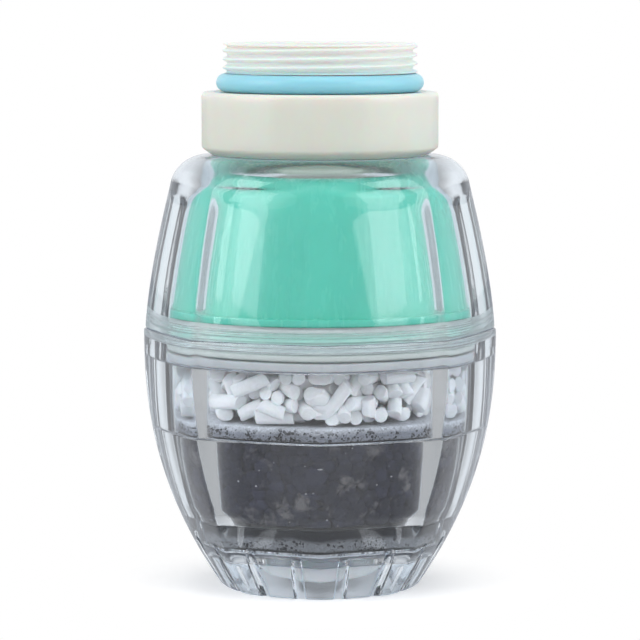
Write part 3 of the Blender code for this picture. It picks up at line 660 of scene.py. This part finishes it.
carbon, tree, shader = finish("carbon", (0.03, 0.03, 0.036), 0.8, Specular_IOR_Level=0.06)
shade = node(tree, "Attribute", attribute_name="shade").outputs["Fac"]
powder = feed(tree, fibres, Scale=500.0)
mixed = calc(tree, "MULTIPLY_ADD", powder["Mask"], 0.35, shade)
dark = blend(tree, ramp(tree, mixed, 0.2, 1.2), (0.002, 0.0025, 0.009), (0.036, 0.038, 0.068))
broken = ramp(tree, grain(tree, 210.0, 4.0, 0.65), 0.55, 0.68, high=0.9)
dusty = blend(tree, broken, dark, (0.15, 0.14, 0.145))
# Pale specks painted into the colour: painted glints where the granules would catch the light.
painted_glints = feed(tree, specks, Scale=1700.0, Size=0.34, Share=0.11)["Mask"]
color = blend(tree, painted_glints, dusty, (0.34, 0.34, 0.36))
surface(tree, shader, color, bump=(powder["Height"], 0.6, 0.3 * mm))
piece(granules(), "carbon_granules", carbon, "lower_housing", "carbon", "carbon_bed", sharp=60)

# ---- Carbon dust
# Crumbs that have come off the carbon. They are caught at the edges of the felts, and between
# the felts and the wall.
def dust():
    """Tiny crumbs round the felts, thicker in some places than in others."""
    chance = random.Random(29)
    bm = bmesh.new()
    bands = (
        (upper_felt_radius, upper_felt_z, upper_felt_z + 1.7 * mm, 1300, 8.0),
        (lower_felt_radius, lower_felt_z + 0.2 * mm, lower_felt_z + 2.2 * mm, 700, 6.0),
    )
    for radius, low, high, count, seed in bands:
        for _ in range(count):
            angle = chance.uniform(0, 2 * math.pi)
            thick = noise.noise(round_axis(2.2, angle, seed))
            if chance.random() > 0.45 + 1.4 * thick:
                continue
            reach = radius + chance.uniform(-0.12, 0.1) * mm
            place = round_axis(reach, angle, low + (high - low) * chance.random() ** 1.5)
            crumb = bmesh.ops.create_icosphere(
                bm, subdivisions=1, radius=chance.uniform(0.06, 0.2) * mm
            )
            squeeze = Matrix.Diagonal([chance.uniform(0.6, 1.3) for _ in range(3)])
            for vert in crumb["verts"]:
                vert.co = place + squeeze @ vert.co * chance.uniform(0.8, 1.2)
    return bm


carbon_dust, tree, shader = finish("carbon_dust", (0.02, 0.02, 0.024), 0.7)
grit = feed(tree, fibres, Scale=1500.0)["Mask"]
surface(tree, shader, blend(tree, grit, (0.012, 0.012, 0.016), (0.05, 0.05, 0.055)))
piece(dust(), "carbon_crumbs", carbon_dust, "lower_housing", "carbon")

# ---- Mineral rods
# White extruded mineral rods, broken into short lengths with rough ends and poured in as a
# loose heap. They press on each other and on the chamber's wall.
rod_bed_z = 30.7 * mm
rod_bed_top = 39.4 * mm
rod_reach = 23.1 * mm
rod_core = 15.2 * mm
rod_radius = 1.2 * mm
rod_count = 200
rod_beads = 4
rod_rounds = 110


def settle_rods():
    """Middles, directions and half lengths of rods that have pushed each other apart.

    Each rod is a row of beads. Beads of two rods that overlap, and beads in a wall, are moved
    off, and the rod shifts and turns with them.
    """
    chance = np.random.default_rng(21)
    angle = chance.uniform(0, 2 * math.pi, rod_count)
    reach = chance.uniform(rod_core + rod_radius, rod_reach - rod_radius, rod_count)
    height = chance.uniform(rod_bed_z + rod_radius, rod_bed_top - rod_radius, rod_count)
    middles = np.stack([reach * np.cos(angle), reach * np.sin(angle), height], axis=1)
    aims = chance.normal(size=(rod_count, 3)) * (1.0, 1.0, 0.75)
    aims /= np.linalg.norm(aims, axis=1, keepdims=True)
    halves = chance.uniform(1.7 * mm, 3.9 * mm, rod_count)
    along = np.linspace(-1, 1, rod_beads)
    owner = np.repeat(np.arange(rod_count), rod_beads)
    apart = owner[:, None] != owner[None, :]
    for _ in range(rod_rounds):
        arms = (halves[:, None] * along)[:, :, None] * aims[:, None, :]
        beads = (middles[:, None, :] + arms).reshape(-1, 3)
        gaps = beads[:, None, :] - beads[None, :, :]
        far = np.linalg.norm(gaps, axis=2) + mm / 1e6
        overlap = np.where(apart, np.maximum(0, 2 * rod_radius - far), 0)
        push = (gaps * (overlap / far)[:, :, None]).sum(axis=1) * 0.5
        outward = np.hypot(beads[:, 0], beads[:, 1])
        wall = np.minimum(0, rod_reach - rod_radius - outward)
        core = np.maximum(0, rod_core + rod_radius * 0.5 - outward)
        push[:, :2] += beads[:, :2] / outward[:, None] * (wall + core)[:, None]
        push[:, 2] += np.maximum(0, rod_bed_z + rod_radius - beads[:, 2])
        push[:, 2] += np.minimum(0, rod_bed_top - rod_radius - beads[:, 2])
        push = push.reshape(rod_count, rod_beads, 3)
        middles += push.mean(axis=1)
        arm_length = (arms**2).sum(axis=(1, 2))
        twist = np.cross(arms, push).sum(axis=1) / arm_length[:, None]
        aims += np.cross(twist, aims)
        aims /= np.linalg.norm(aims, axis=1, keepdims=True)
    return middles, aims, halves


def rod_heap():
    """The settled rods, each with its own length and broken ends, round a lumpy core."""
    chance = random.Random(5)
    core = [(rod_core, z) for z in spread(rod_bed_top - 0.6 * mm, rod_bed_z, 8)]
    bm = turn([(0.0, rod_bed_top - 0.6 * mm)] + core + [(0.0, rod_bed_z)], 96)
    roughen(bm, 1.2 * mm, 2.2 * mm, 2.0)
    rod_edges = set()
    for middle, aim, half in zip(*settle_rods()):
        rod = bmesh.ops.create_cone(
            bm, cap_ends=True, segments=12, radius1=rod_radius, radius2=rod_radius,
            depth=2 * half,
        )
        lie = Vector(aim).to_track_quat("Z", "Y").to_matrix()
        slants = [[chance.uniform(-0.35, 0.35) for _ in range(2)] for _ in range(2)]
        for vert in rod["verts"]:
            slant = slants[vert.co.z > 0]
            drop = math.copysign(math.hypot(*slant) * rod_radius, vert.co.z)
            chip = chance.uniform(-0.08, 0.08) * mm
            vert.co.z += vert.co.x * slant[0] + vert.co.y * slant[1] - drop + chip
            vert.co = Vector(middle) + lie @ vert.co
            rod_edges.update(vert.link_edges)
    rims = [edge for edge in rod_edges if edge.calc_face_angle(0.0) > 0.8]
    bevel(bm, rims, 0.14 * mm, 1)
    for vert in bm.verts:
        vert.co.z = min(max(vert.co.z, rod_bed_z), rod_bed_top)
        inside = rod_reach / max(from_axis(vert), mm)
        if inside < 1:
            pull_in(vert, inside)
    return bm


mineral, tree, shader = finish(
    "mineral", (0.86, 0.86, 0.87), 0.85, Subsurface_Weight=0.15, Subsurface_Scale=0.6 * mm
)
chalk = feed(tree, fibres, Scale=700.0)
color = blend(tree, chalk["Mask"], (0.84, 0.84, 0.84), (0.94, 0.94, 0.95))
surface(tree, shader, color, bump=(chalk["Height"], 0.5, 0.12 * mm))
piece(rod_heap(), "mineral_rods", mineral, "lower_housing", "mineral", "rod_bed")

# ---- Media lid
# A milky plastic disc moulded with radial slots. It rests on the chamber's ledge and keeps
# the rods down.
lid_z = 39.7 * mm
lid_top = lid_z + 1.4 * mm
lid_radius = 26.1 * mm
slot_count = 12
slot_start = 6.0 * mm
slot_end = 21.0 * mm
slot_width = 2.2 * mm


def plate(radius, bottom, top, fillet, hole=0.0):
    """The outline of a flat disc, or of a ring round a hole."""
    edge = (fillet,) if hole else ()
    return [
        (hole, top, *edge), (radius, top, fillet), (radius, bottom, fillet), (hole, bottom, *edge)
    ]


def slot_bars(bottom, top, end):
    """Round-ended bars that stand where a disc's radial slots are."""
    bm = bmesh.new()
    for i in range(slot_count):
        turn_by = Matrix.Rotation(2 * math.pi * (i + 0.5) / slot_count, 4, "Z")
        size = Matrix.Diagonal((end - slot_start, slot_width, top - bottom, 1.0))
        middle = Matrix.Translation(((slot_start + end) / 2, 0.0, (bottom + top) / 2))
        made = bmesh.ops.create_cube(bm, size=1.0, matrix=turn_by @ middle @ size)
        upright = [
            edge for edge in {e for v in made["verts"] for e in v.link_edges}
            if abs(edge.verts[0].co.z - edge.verts[1].co.z) > (top - bottom) / 2
        ]
        bevel(bm, upright, slot_width * 0.42, 4)
    return bm


# The lid is painted dark grey, far darker than the cup of the same milky plastic: painted shade.
slotted_lid = piece(
    turn(plate(lid_radius, lid_z, lid_top, 0.25 * mm)), "slotted_lid",
    milky_finish("milky_lid_painted_shade", (0.50, 0.515, 0.52), (0.44, 0.45, 0.46)),
    "lower_housing", "milky_plastic", "media_lid",
)
carve(slotted_lid, slot_bars(lid_z - mm, lid_top + mm, slot_end))

# ---- Seam gasket
# A moulded ring of cream silicone. It lies loose on the lid, and the end of the upper half's
# spigot presses on it.
gasket_z = 41.4 * mm
gasket_top = 42.4 * mm
gasket_outer = 26.1 * mm
gasket_inner = 24.7 * mm


def rubber_finish(name, color, roughness, mottle, **sockets):
    """Moulded rubber with a faint mottle and a soft bump."""
    material, tree, shader = finish(name, color, roughness, **sockets)
    marks = feed(tree, moulding, Sinks=220.0, Scuffs=1200.0)
    shade = blend(tree, marks["Height"], tuple(channel * mottle for channel in color), color)
    rough = (marks["Scuff"], roughness, roughness + 0.15)
    surface(tree, shader, shade, rough, (marks["Height"], 0.3, 0.1 * mm))
    return material


seam_silicone = rubber_finish("seam_silicone", (0.62, 0.65, 0.61), 0.45, 0.9)
seam_ring = turn(plate(gasket_outer, gasket_z, gasket_top, 0.35 * mm, gasket_inner))
piece(seam_ring, "seam_ring", seam_silicone, "seam_gasket", "silicone", "seam_gasket")

# ---- Upper housing
# The clear domed half, moulded in one piece: a rounded eight-sided shoulder, a flat top with
# the threaded inlet stub, and a short spigot that screws into the lower half's mouth.
seam_z = 44.35 * mm
upper_height = 29.65 * mm
upper_rim_radius = 29.95 * mm
upper_taper = 5.7 * mm
upper_curve = 1.42
upper_wall = 3.2 * mm
shoulder_radius = 6.0 * mm
plate_top = 74.0 * mm
plate_bottom = 71.6 * mm
dome_top = 72.2 * mm
dome_radius = 5.6 * mm
boss_radius = 13.6 * mm
stub_top = 80.9 * mm
stub_radius = 15.4 * mm
stub_bore = 11.0 * mm
spigot_radius = 26.1 * mm
spigot_end = 42.7 * mm
spigot_thread_depth = 0.3 * mm
spigot_lip_top = 44.0 * mm
cap_seat_top = 46.4 * mm
cap_seat_depth = 0.2 * mm
stub_thread_pitch = 1.5 * mm
stub_thread_depth = 0.55 * mm
stub_thread_start = 74.9 * mm
stub_thread_end = 80.4 * mm
stub_crest = 80.0 * mm
round_plate_radius = 19.0 * mm
fade_start = 65.5 * mm
fade_end = 70.5 * mm
upper_matt_top = 46.9 * mm


def upper_ridge(z):
    return upper_rim_radius - upper_taper * max(0.0, (z - seam_z) / upper_height) ** upper_curve


def upper_inside(z):
    return upper_ridge(z) * facet_middle - upper_wall


# Down the stub, the shoulder and the outside to the spigot, then up inside to the plate.
outline = [(stub_bore, stub_top, 0.4 * mm), (stub_radius, stub_top, 0.5 * mm)]
outline += [(stub_radius, z) for z in spread(stub_top - 0.7 * mm, plate_top + 0.6 * mm, 50)]
outline += [(stub_radius, plate_top, 0.3 * mm)]
lean = math.degrees(math.atan(upper_curve * upper_taper / upper_height))
centre = upper_ridge(plate_top) - shoulder_radius * math.tan(math.radians(90 - lean) / 2)
shoulder = arc(centre, plate_top - shoulder_radius, shoulder_radius, 90, lean, 14)
outline += shoulder
outline += [(upper_ridge(z), z) for z in spread(shoulder[-1][1], seam_z, 24)[1:]]
outline[-1] = (*outline[-1], 0.3 * mm)
outline += [(spigot_radius, z) for z in spread(seam_z, spigot_end + 0.2 * mm, 24)]
outline += [(spigot_radius, spigot_end, 0.15 * mm)]
lip = upper_inside(seam_z) - 0.5 * mm
outline += [(lip, spigot_end, 0.2 * mm), (lip, spigot_lip_top, 0.15 * mm)]
outline += [(upper_inside(seam_z), spigot_lip_top, 0.15 * mm)]
corner_z = dome_top - dome_radius
outline += [(upper_inside(seam_z), z) for z in spread(seam_z, cap_seat_top, 30)]
outline += [(upper_inside(z), z) for z in spread(cap_seat_top + 0.4 * mm, corner_z, 14)]
centre = upper_inside(corner_z) - dome_radius
outline += arc(centre, corner_z, dome_radius, 0, 90, 24)[1:-1]
outline += [(boss_radius, dome_top, 0.2 * mm), (boss_radius, plate_bottom, 0.1 * mm)]
outline += [(stub_bore, plate_bottom, 0.3 * mm)]


def upper_bulge(radius, z):
    inner = upper_inside(z) + upper_wall / 2 if z < dome_top + mm / 10 else round_plate_radius
    if z < seam_z - mm / 100 or radius < inner:
        return None
    into_shoulder = min(1.0, max(0.0, (z - fade_start) / (fade_end - fade_start)))
    into_shoulder = into_shoulder**2 * (3 - 2 * into_shoulder)
    return facet_bulge + (1 - facet_bulge) * into_shoulder


upper = turn(outline, 320)
cut_thread(
    upper, stub_radius, stub_thread_depth, stub_thread_pitch, stub_thread_start,
    stub_thread_end, stub_crest,
)
cut_thread(
    upper, spigot_radius, spigot_thread_depth, seam_thread_pitch, spigot_end, seam_z, seam_z
)
cut_thread(
    upper, upper_inside(seam_z), -cap_seat_depth, seam_thread_pitch, seam_z, cap_seat_top, seam_z
)
draw_in(upper, 8, upper_bulge, ridge_rounding)
upper_shell = piece(
    upper, "upper_shell", clear_plastic, "upper_housing", "clear_plastic", "upper_housing"
)
leave_matt(upper_shell, spigot_end - mm, upper_matt_top)

# ---- Bell cap and felt
# What closes the green bell from below: a slotted disc moulded in the same plastic, and on it
# a thin felt, cut from sheet, whose loose fibres stick out all round its edge.
cap_z = 44.3 * mm
cap_top = cap_z + 1.3 * mm
cap_radius = 24.55 * mm
cap_slot_end = 19.5 * mm
bell_felt_z = 45.9 * mm
bell_felt_depth = 0.6 * mm
bell_felt_top = bell_felt_z + bell_felt_depth
fibre_count = 520

green_plastic, tree, shader = finish(
    "green_plastic", (0.09, 0.60, 0.45), 0.3, Subsurface_Weight=0.1, Subsurface_Scale=1.5 * mm
)
marks = feed(tree, moulding, Sinks=90.0, Scuffs=800.0)
color = blend(tree, marks["Height"], (0.085, 0.555, 0.405), (0.12, 0.605, 0.455))
surface(tree, shader, color, (marks["Scuff"], 0.26, 0.42), (marks["Height"], 0.3, 0.15 * mm))

cotton, tree, shader = finish("cotton", (0.86, 0.85, 0.84), 1.0, Sheen_Weight=0.4)
strands = feed(tree, fibres, Scale=1100.0)
color = blend(tree, strands["Mask"], (0.72, 0.71, 0.70), (0.92, 0.90, 0.90))
surface(tree, shader, color, bump=(strands["Height"], 1.0, 0.3 * mm))


def fuzzy_disc():
    """A thin felt disc with short loose fibres round its edge."""
    disc_radius = cap_radius - 0.1 * mm
    bm = turn([
        (0.0, bell_felt_top), (cap_radius * 0.8, bell_felt_top),
        (disc_radius, bell_felt_top, 0.15 * mm), (disc_radius, bell_felt_z, 0.15 * mm),
        (0.0, bell_felt_z),
    ], 320)
    roughen(bm, 0.25 * mm, 0.7 * mm, 12.0)
    chance = random.Random(17)
    for _ in range(fibre_count):
        angle = chance.uniform(0, 2 * math.pi)
        length = chance.uniform(0.4, 1.1) * mm
        lie = Matrix.Rotation(angle, 4, "Z") @ Matrix.Translation((
            disc_radius + chance.uniform(-0.1, 0.25) * mm, 0.0,
            bell_felt_z + bell_felt_depth / 2,
        ))
        aim = Matrix.Rotation(chance.uniform(-1.35, 1.35), 4, "X")
        bmesh.ops.create_cone(
            bm, cap_ends=True, segments=5, radius1=0.07 * mm, radius2=0.03 * mm, depth=length,
            matrix=lie @ aim @ Matrix.Rotation(math.pi / 2, 4, "X"),
        )
    lowest, highest = bell_felt_z - 0.2 * mm, bell_felt_top + 0.2 * mm
    for vert in bm.verts:
        vert.co.z = min(max(vert.co.z, lowest), highest)
    return bm


slotted_cap = piece(
    turn(plate(cap_radius, cap_z, cap_top, 0.25 * mm), 256), "slotted_cap", green_plastic,
    "upper_housing", "green_plastic", "bell_cap",
)
carve(slotted_cap, slot_bars(cap_z - mm, cap_top + mm, cap_slot_end))
piece(fuzzy_disc(), "cap_felt", cotton, "upper_housing", "cotton", "bell_felt")

# ---- Green bell
# A mint green cup, moulded in satin plastic and set mouth down in the upper housing. It has a
# locating rim, a rounded top and a round inlet.
bell_z = 46.8 * mm
bell_top = 70.3 * mm
bell_rim_height = 1.2 * mm
bell_wall = 1.4 * mm
bell_corner = 2.6 * mm
bell_clearance = 1.5 * mm
bell_inlet = 9.5 * mm


def bell_side(z):
    return upper_inside(z) - bell_clearance


corner_z = bell_top - bell_corner
corner = bell_side(corner_z) - bell_corner
rim_top = bell_z + bell_rim_height
rim = upper_inside(rim_top) - 0.3 * mm
heights = spread(corner_z, rim_top, 20)
outline = [(bell_inlet, bell_top, 0.3 * mm)]
outline += arc(corner, corner_z, bell_corner, 90, 0, 10)
outline += [(bell_side(z), z) for z in heights[1:]]
outline += [(rim, rim_top, 0.2 * mm), (rim, bell_z, 0.3 * mm)]
outline += [(bell_side(bell_z) - bell_wall, bell_z, 0.2 * mm)]
outline += [(bell_side(z) - bell_wall, z) for z in heights[::-1]]
outline += [(corner, bell_top - bell_wall), (bell_inlet, bell_top - bell_wall, 0.2 * mm)]

piece(
    turn(outline, 256), "mint_bell", green_plastic, "upper_housing", "green_plastic", "green_bell"
)

# ---- Cotton and bell gasket
# Loose cotton packed into the bell, and a cream silicone ring that seals the bell's top
# against the housing's plate.
cotton_top = 68.6 * mm
bell_gasket_z = 70.6 * mm
bell_gasket_top = 71.3 * mm
bell_gasket_outer = 13.4 * mm


def cotton_wad():
    shoulder = bell_top - bell_corner
    inset = bell_wall + 0.3 * mm
    outline = [(0.0, cotton_top), (bell_side(shoulder) - bell_corner, cotton_top)]
    heights = spread(shoulder - 0.4 * mm, bell_z + 0.4 * mm, 16)
    outline += [(bell_side(z) - inset, z) for z in heights]
    outline += [(bell_side(bell_z) - inset - 0.4 * mm, bell_z), (0.0, bell_z)]
    bm = turn(outline, 96)
    roughen(bm, 0.9 * mm, 3.0 * mm, 9.0)
    return bm


piece(cotton_wad(), "cotton_wad", cotton, "upper_housing", "cotton", "cotton_pad")
bell_seal = turn(plate(bell_gasket_outer, bell_gasket_z, bell_gasket_top, 0.2 * mm, stub_bore))
cream_silicone = rubber_finish("cream_silicone", (0.90, 0.90, 0.76), 0.45, 0.95)
piece(bell_seal, "bell_seal", cream_silicone, "upper_housing", "silicone", "bell_gasket")

# ---- Inlet adapter
# One off-white moulding that screws over the stub: a collar with sixteen soft flats, a sunk
# seat for the blue ring, and a neck with the fine thread that takes the tap's nut.
adapter_z = 74.08 * mm
collar_top = 84.8 * mm
collar_radius = 20.2 * mm
collar_foot_radius = 18.5 * mm
collar_chamfer_top = 75.3 * mm
collar_bulge = 0.26
collar_rounding = math.radians(3.0)
ring_seat_z = 84.72 * mm
ring_seat_outer = 18.0 * mm
ring_groove = 14.3 * mm
groove_top = 87.98 * mm
neck_top = 93.0 * mm
neck_radius = 16.6 * mm
neck_bore = 12.6 * mm
neck_thread_depth = 0.8 * mm
neck_thread_pitch = 1.43 * mm
neck_thread_start = groove_top - 0.4 * mm
neck_thread_end = neck_top + 0.2 * mm
neck_crest = 88.18 * mm
web_bottom = 82.7 * mm
web_top = 84.6 * mm
water_hole = 9.5 * mm
socket_radius = 15.7 * mm

# Down the neck, the ring's seat and the collar, then up the socket and the bore.
outline = [(neck_bore, neck_top, 0.5 * mm), (neck_radius, neck_top, 0.4 * mm)]
outline += [(neck_radius, z) for z in spread(neck_top - 0.5 * mm, groove_top + 0.1 * mm, 46)]
outline += [(neck_radius - 0.4 * mm, groove_top), (ring_groove, groove_top, 0.3 * mm)]
outline += [(ring_groove, ring_seat_z, 0.3 * mm), (ring_seat_outer, ring_seat_z, 0.1 * mm)]
outline += [(ring_seat_outer, collar_top, 0.1 * mm), (collar_radius, collar_top, 0.7 * mm)]
heights = spread(collar_top - 1.4 * mm, collar_chamfer_top, 6)
outline += [(collar_radius, z) for z in heights[:-1]]
outline += [
    (collar_radius, collar_chamfer_top, 0.35 * mm), (collar_foot_radius, adapter_z, 0.25 * mm),
    (socket_radius, adapter_z, 0.4 * mm), (socket_radius, web_bottom, 0.4 * mm),
    (water_hole, web_bottom, 0.3 * mm), (water_hole, web_top, 0.3 * mm),
    (neck_bore, web_top, 0.4 * mm),
]


def collar_bulge_at(radius, z):
    gripped = z < collar_top + mm / 100 and radius > collar_foot_radius - 0.45 * mm
    return collar_bulge if gripped else None


# Off-white plastic, warmer in clouds on the collar and paler towards the neck.
adapter_white, tree, shader = finish(
    "adapter_white", (0.74, 0.78, 0.74), 0.36, Subsurface_Weight=0.7, Subsurface_Scale=4 * mm
)
warm = ramp(tree, grain(tree, 55.0, 2.0), 0.4, 0.7)
collar = blend(tree, warm, (0.71, 0.745, 0.69), (0.68, 0.69, 0.60))
neck = feed(tree, level, From=82 * mm, To=89 * mm, Waver=1 * mm)["Mask"]
color = blend(tree, neck, collar, (0.78, 0.84, 0.82))
marks = feed(tree, moulding, Sinks=130.0, Scuffs=900.0)
surface(tree, shader, color, (marks["Scuff"], 0.32, 0.45), (marks["Height"], 0.2, 0.15 * mm))
pass_light(tree, shader, (1.0, 0.98, 0.90), 0.35)

adapter = turn(outline, 288)
cut_thread(
    adapter, neck_radius, neck_thread_depth, neck_thread_pitch, neck_thread_start,
    neck_thread_end, neck_crest,
)
draw_in(adapter, 16, collar_bulge_at, collar_rounding)
piece(
    adapter, "white_adapter", adapter_white, "inlet_adapter", "adapter_white", "inlet_adapter"
)

# ---- Washer and inlet screen
# A grey flat washer that seals the stub inside the collar, and a perforated steel disc that
# lies on the neck's web and keeps grit out.
washer_z = 81.2 * mm
washer_top = 82.4 * mm
washer_radius = 15.4 * mm
screen_z = 84.9 * mm
screen_top = 85.3 * mm
screen_radius = 12.3 * mm
screen_hole = 0.42 * mm
screen_pitch = 1.25 * mm

punched_steel, tree, shader = finish("punched_steel", (0.62, 0.63, 0.65), 0.32, Metallic=1.0)
scuff = feed(tree, moulding, Sinks=300.0, Scuffs=2500.0)["Scuff"]
color = blend(tree, scuff, (0.62, 0.63, 0.65), (0.50, 0.51, 0.53))
surface(tree, shader, color, (scuff, 0.25, 0.5), (scuff, 0.2, 0.05 * mm))

washer = turn(plate(washer_radius, washer_z, washer_top, 0.25 * mm, stub_bore))
grey_rubber = rubber_finish("grey_rubber", (0.40, 0.41, 0.42), 0.6, 0.85)
piece(washer, "stub_washer", grey_rubber, "adapter_washer", "washer_rubber", "adapter_washer")
screen = turn(plate(screen_radius, screen_z, screen_top, 0.1 * mm))
inlet_disc = piece(
    screen, "inlet_disc", punched_steel, "inlet_adapter", "steel", "inlet_screen"
)
carve(inlet_disc, hole_pins(
    hole_rings(9, screen_pitch), screen_hole, screen_z - mm, screen_top + mm, 10
))

# ---- Blue ring
# An O-ring moulded in light blue silicone. It lies in the neck's groove, where the tap's nut
# presses on it.
ring_z = 86.35 * mm
ring_middle = 16.15 * mm
ring_section = 1.55 * mm

blue_silicone = rubber_finish(
    "blue_silicone", (0.30, 0.69, 0.83), 0.32, 0.93, Subsurface_Weight=0.25,
    Subsurface_Scale=2 * mm,
)
blue = bmesh.new()
bmesh.ops.create_circle(
    blue, segments=28, radius=ring_section,
    matrix=Matrix.Translation((ring_middle, 0.0, ring_z)) @ Matrix.Rotation(math.pi / 2, 4, "X"),
)
spin_round(blue, 256)
piece(blue, "blue_ring", blue_silicone, "inlet_adapter", "ring_blue", "neck_o_ring")

# ---- Camera
# A long lens 0.58 m in front of the filter and a little above its rim, tipped down, as the
# rims' ellipses in the photo ask for.
camera_tip = 5.8107

camera_data = bpy.data.cameras.new("camera")
camera_data.lens = 191.25
camera_data.sensor_width = 36.0
camera_data.clip_start = 0.01
camera = bpy.data.objects.new("camera", camera_data)
camera.location = (0.0, -0.5805, 0.1047)
camera.rotation_euler = (math.radians(90 - camera_tip), 0.0, 0.0)
bpy.context.scene.collection.objects.link(camera)
bpy.context.scene.camera = camera

# ---- Floor
# A plain white floor just under the filter, which keeps the filter's shadow. Where the camera
# sees it, straight or through the plastic, it is bright, and further out it glows white.
floor_grey = (0.84, 0.84, 0.84)
floor_bright = (1.35, 1.35, 1.36)
glow_start = 18 * mm
glow_end = 42 * mm
glow_at_sides = 0.5
dim_from = 0.45
dim_to = 0.8


def between(tree, mask, first, second):
    """One number blended to another by a mask. A Mix node's numbers are its inputs 2 and 3."""
    return node(tree, "Mix", {0: mask, 2: first, 3: second}).outputs[0]


def dim_sides(tree, direction, least):
    """1 to the front and back, and down to least for a direction to the left or right."""
    across = node(tree, "SeparateXYZ", {"Vector": direction}).outputs["X"]
    across = calc(tree, "ABSOLUTE", across)
    return ramp(tree, across, dim_from, dim_to, 1.0, least, "SMOOTHSTEP")


floor_bm = bmesh.new()
bmesh.ops.create_grid(
    floor_bm, x_segments=1, y_segments=1, size=4.0,
    matrix=Matrix.Translation((0.0, 0.0, -mm / 20)),
)
floor = as_object(floor_bm, "floor")
floor_white, paint, floor_shader = finish("floor_white", (0.8, 0.8, 0.8), 0.9)
floor_path = node(paint, "LightPath").outputs
through = calc(paint, "GREATER_THAN", floor_path["Transmission Depth"], 0.5)
not_bounced = calc(paint, "LESS_THAN", floor_path["Diffuse Depth"], 0.5)
camera_seen = calc(paint, "MAXIMUM", floor_path["Is Camera Ray"], through)
seen = calc(paint, "MULTIPLY", not_bounced, camera_seen)
surface(paint, floor_shader, blend(paint, seen, floor_grey, floor_bright))
out = node(paint, "VectorMath", {0: on_object(paint)}, operation="LENGTH").outputs["Value"]
far = ramp(paint, out, glow_start, glow_end, kind="SMOOTHSTEP")
outward = node(paint, "VectorMath", {0: on_object(paint)}, operation="NORMALIZE")
floor_mirrored = calc(paint, "GREATER_THAN", floor_path["Glossy Depth"], 0.5)
floor_side = dim_sides(paint, outward.outputs["Vector"], glow_at_sides)
glow = node(paint, "Emission", {"Strength": between(paint, floor_mirrored, 1.0, floor_side)})
white = calc(paint, "MULTIPLY", far, seen)
mix_out(paint, white, floor_shader.outputs["BSDF"], glow.outputs["Emission"])
floor.data.materials.append(floor_white)

# ---- Light
# A white room with two tall soft lamps to the left and right and a soft one above. Where the
# room is only seen mirrored, it is darker to the front and, inside the plastic, to the sides.
room_behind_camera = 0.05
inner_room_least = 0.42
room_fill = 0.5

world = bpy.data.worlds.new("white_room")
bpy.context.scene.world = world
world.use_nodes = True
room = world.node_tree
background = room.nodes["Background"]
background.inputs["Color"].default_value = (1.0, 1.0, 1.0, 1.0)
room_path = node(room, "LightPath").outputs
toward = node(room, "TexCoord").outputs["Generated"]
ahead = node(room, "SeparateXYZ", {"Vector": toward}).outputs["Y"]
front = ramp(room, ahead, -0.95, 0.1, room_behind_camera, 1.0, "SMOOTHSTEP")
inner_front = ramp(room, ahead, -0.95, -0.4, inner_room_least, 1.0, "SMOOTHSTEP")
inner_side = dim_sides(room, toward, inner_room_least)
inner_room = calc(room, "MULTIPLY", inner_front, inner_side)
within = calc(room, "GREATER_THAN", room_path["Transmission Depth"], 0.5)
reflected = calc(room, "GREATER_THAN", room_path["Glossy Depth"], 0.5)
mirrored = between(room, within, front, inner_room)
clear_view = between(room, reflected, 1.0, mirrored)
not_through = calc(room, "MAXIMUM", room_path["Is Camera Ray"], room_path["Is Glossy Ray"])
room_seen = calc(room, "MAXIMUM", not_through, room_path["Is Transmission Ray"])
strength = between(room, room_seen, room_fill, clear_view)
room.links.new(strength, background.inputs["Strength"])


def soft_lamp(name, place, width, height, power):
    lamp = bpy.data.lights.new(name, "AREA")
    lamp.shape = "RECTANGLE"
    lamp.size = width
    lamp.size_y = height
    lamp.energy = power
    obj = bpy.data.objects.new(name, lamp)
    obj.location = place
    aim = Vector((0.0, 0.0, 0.05)) - Vector(place)
    obj.rotation_euler = aim.to_track_quat("-Z", "Y").to_euler()
    bpy.context.scene.collection.objects.link(obj)


soft_lamp("left_lamp", (-0.55, -0.24, 0.34), 0.45, 0.5, 1.8)
soft_lamp("right_lamp", (0.53, -0.28, 0.34), 0.5, 0.5, 1.95)
soft_lamp("top_lamp", (0.0, -0.1, 0.7), 0.6, 0.5, 1.1)

scene = bpy.context.scene
scene.view_settings.view_transform = "Standard"
scene.cycles.max_bounces = 24
scene.cycles.transmission_bounces = 24
scene.cycles.transparent_max_bounces = 24
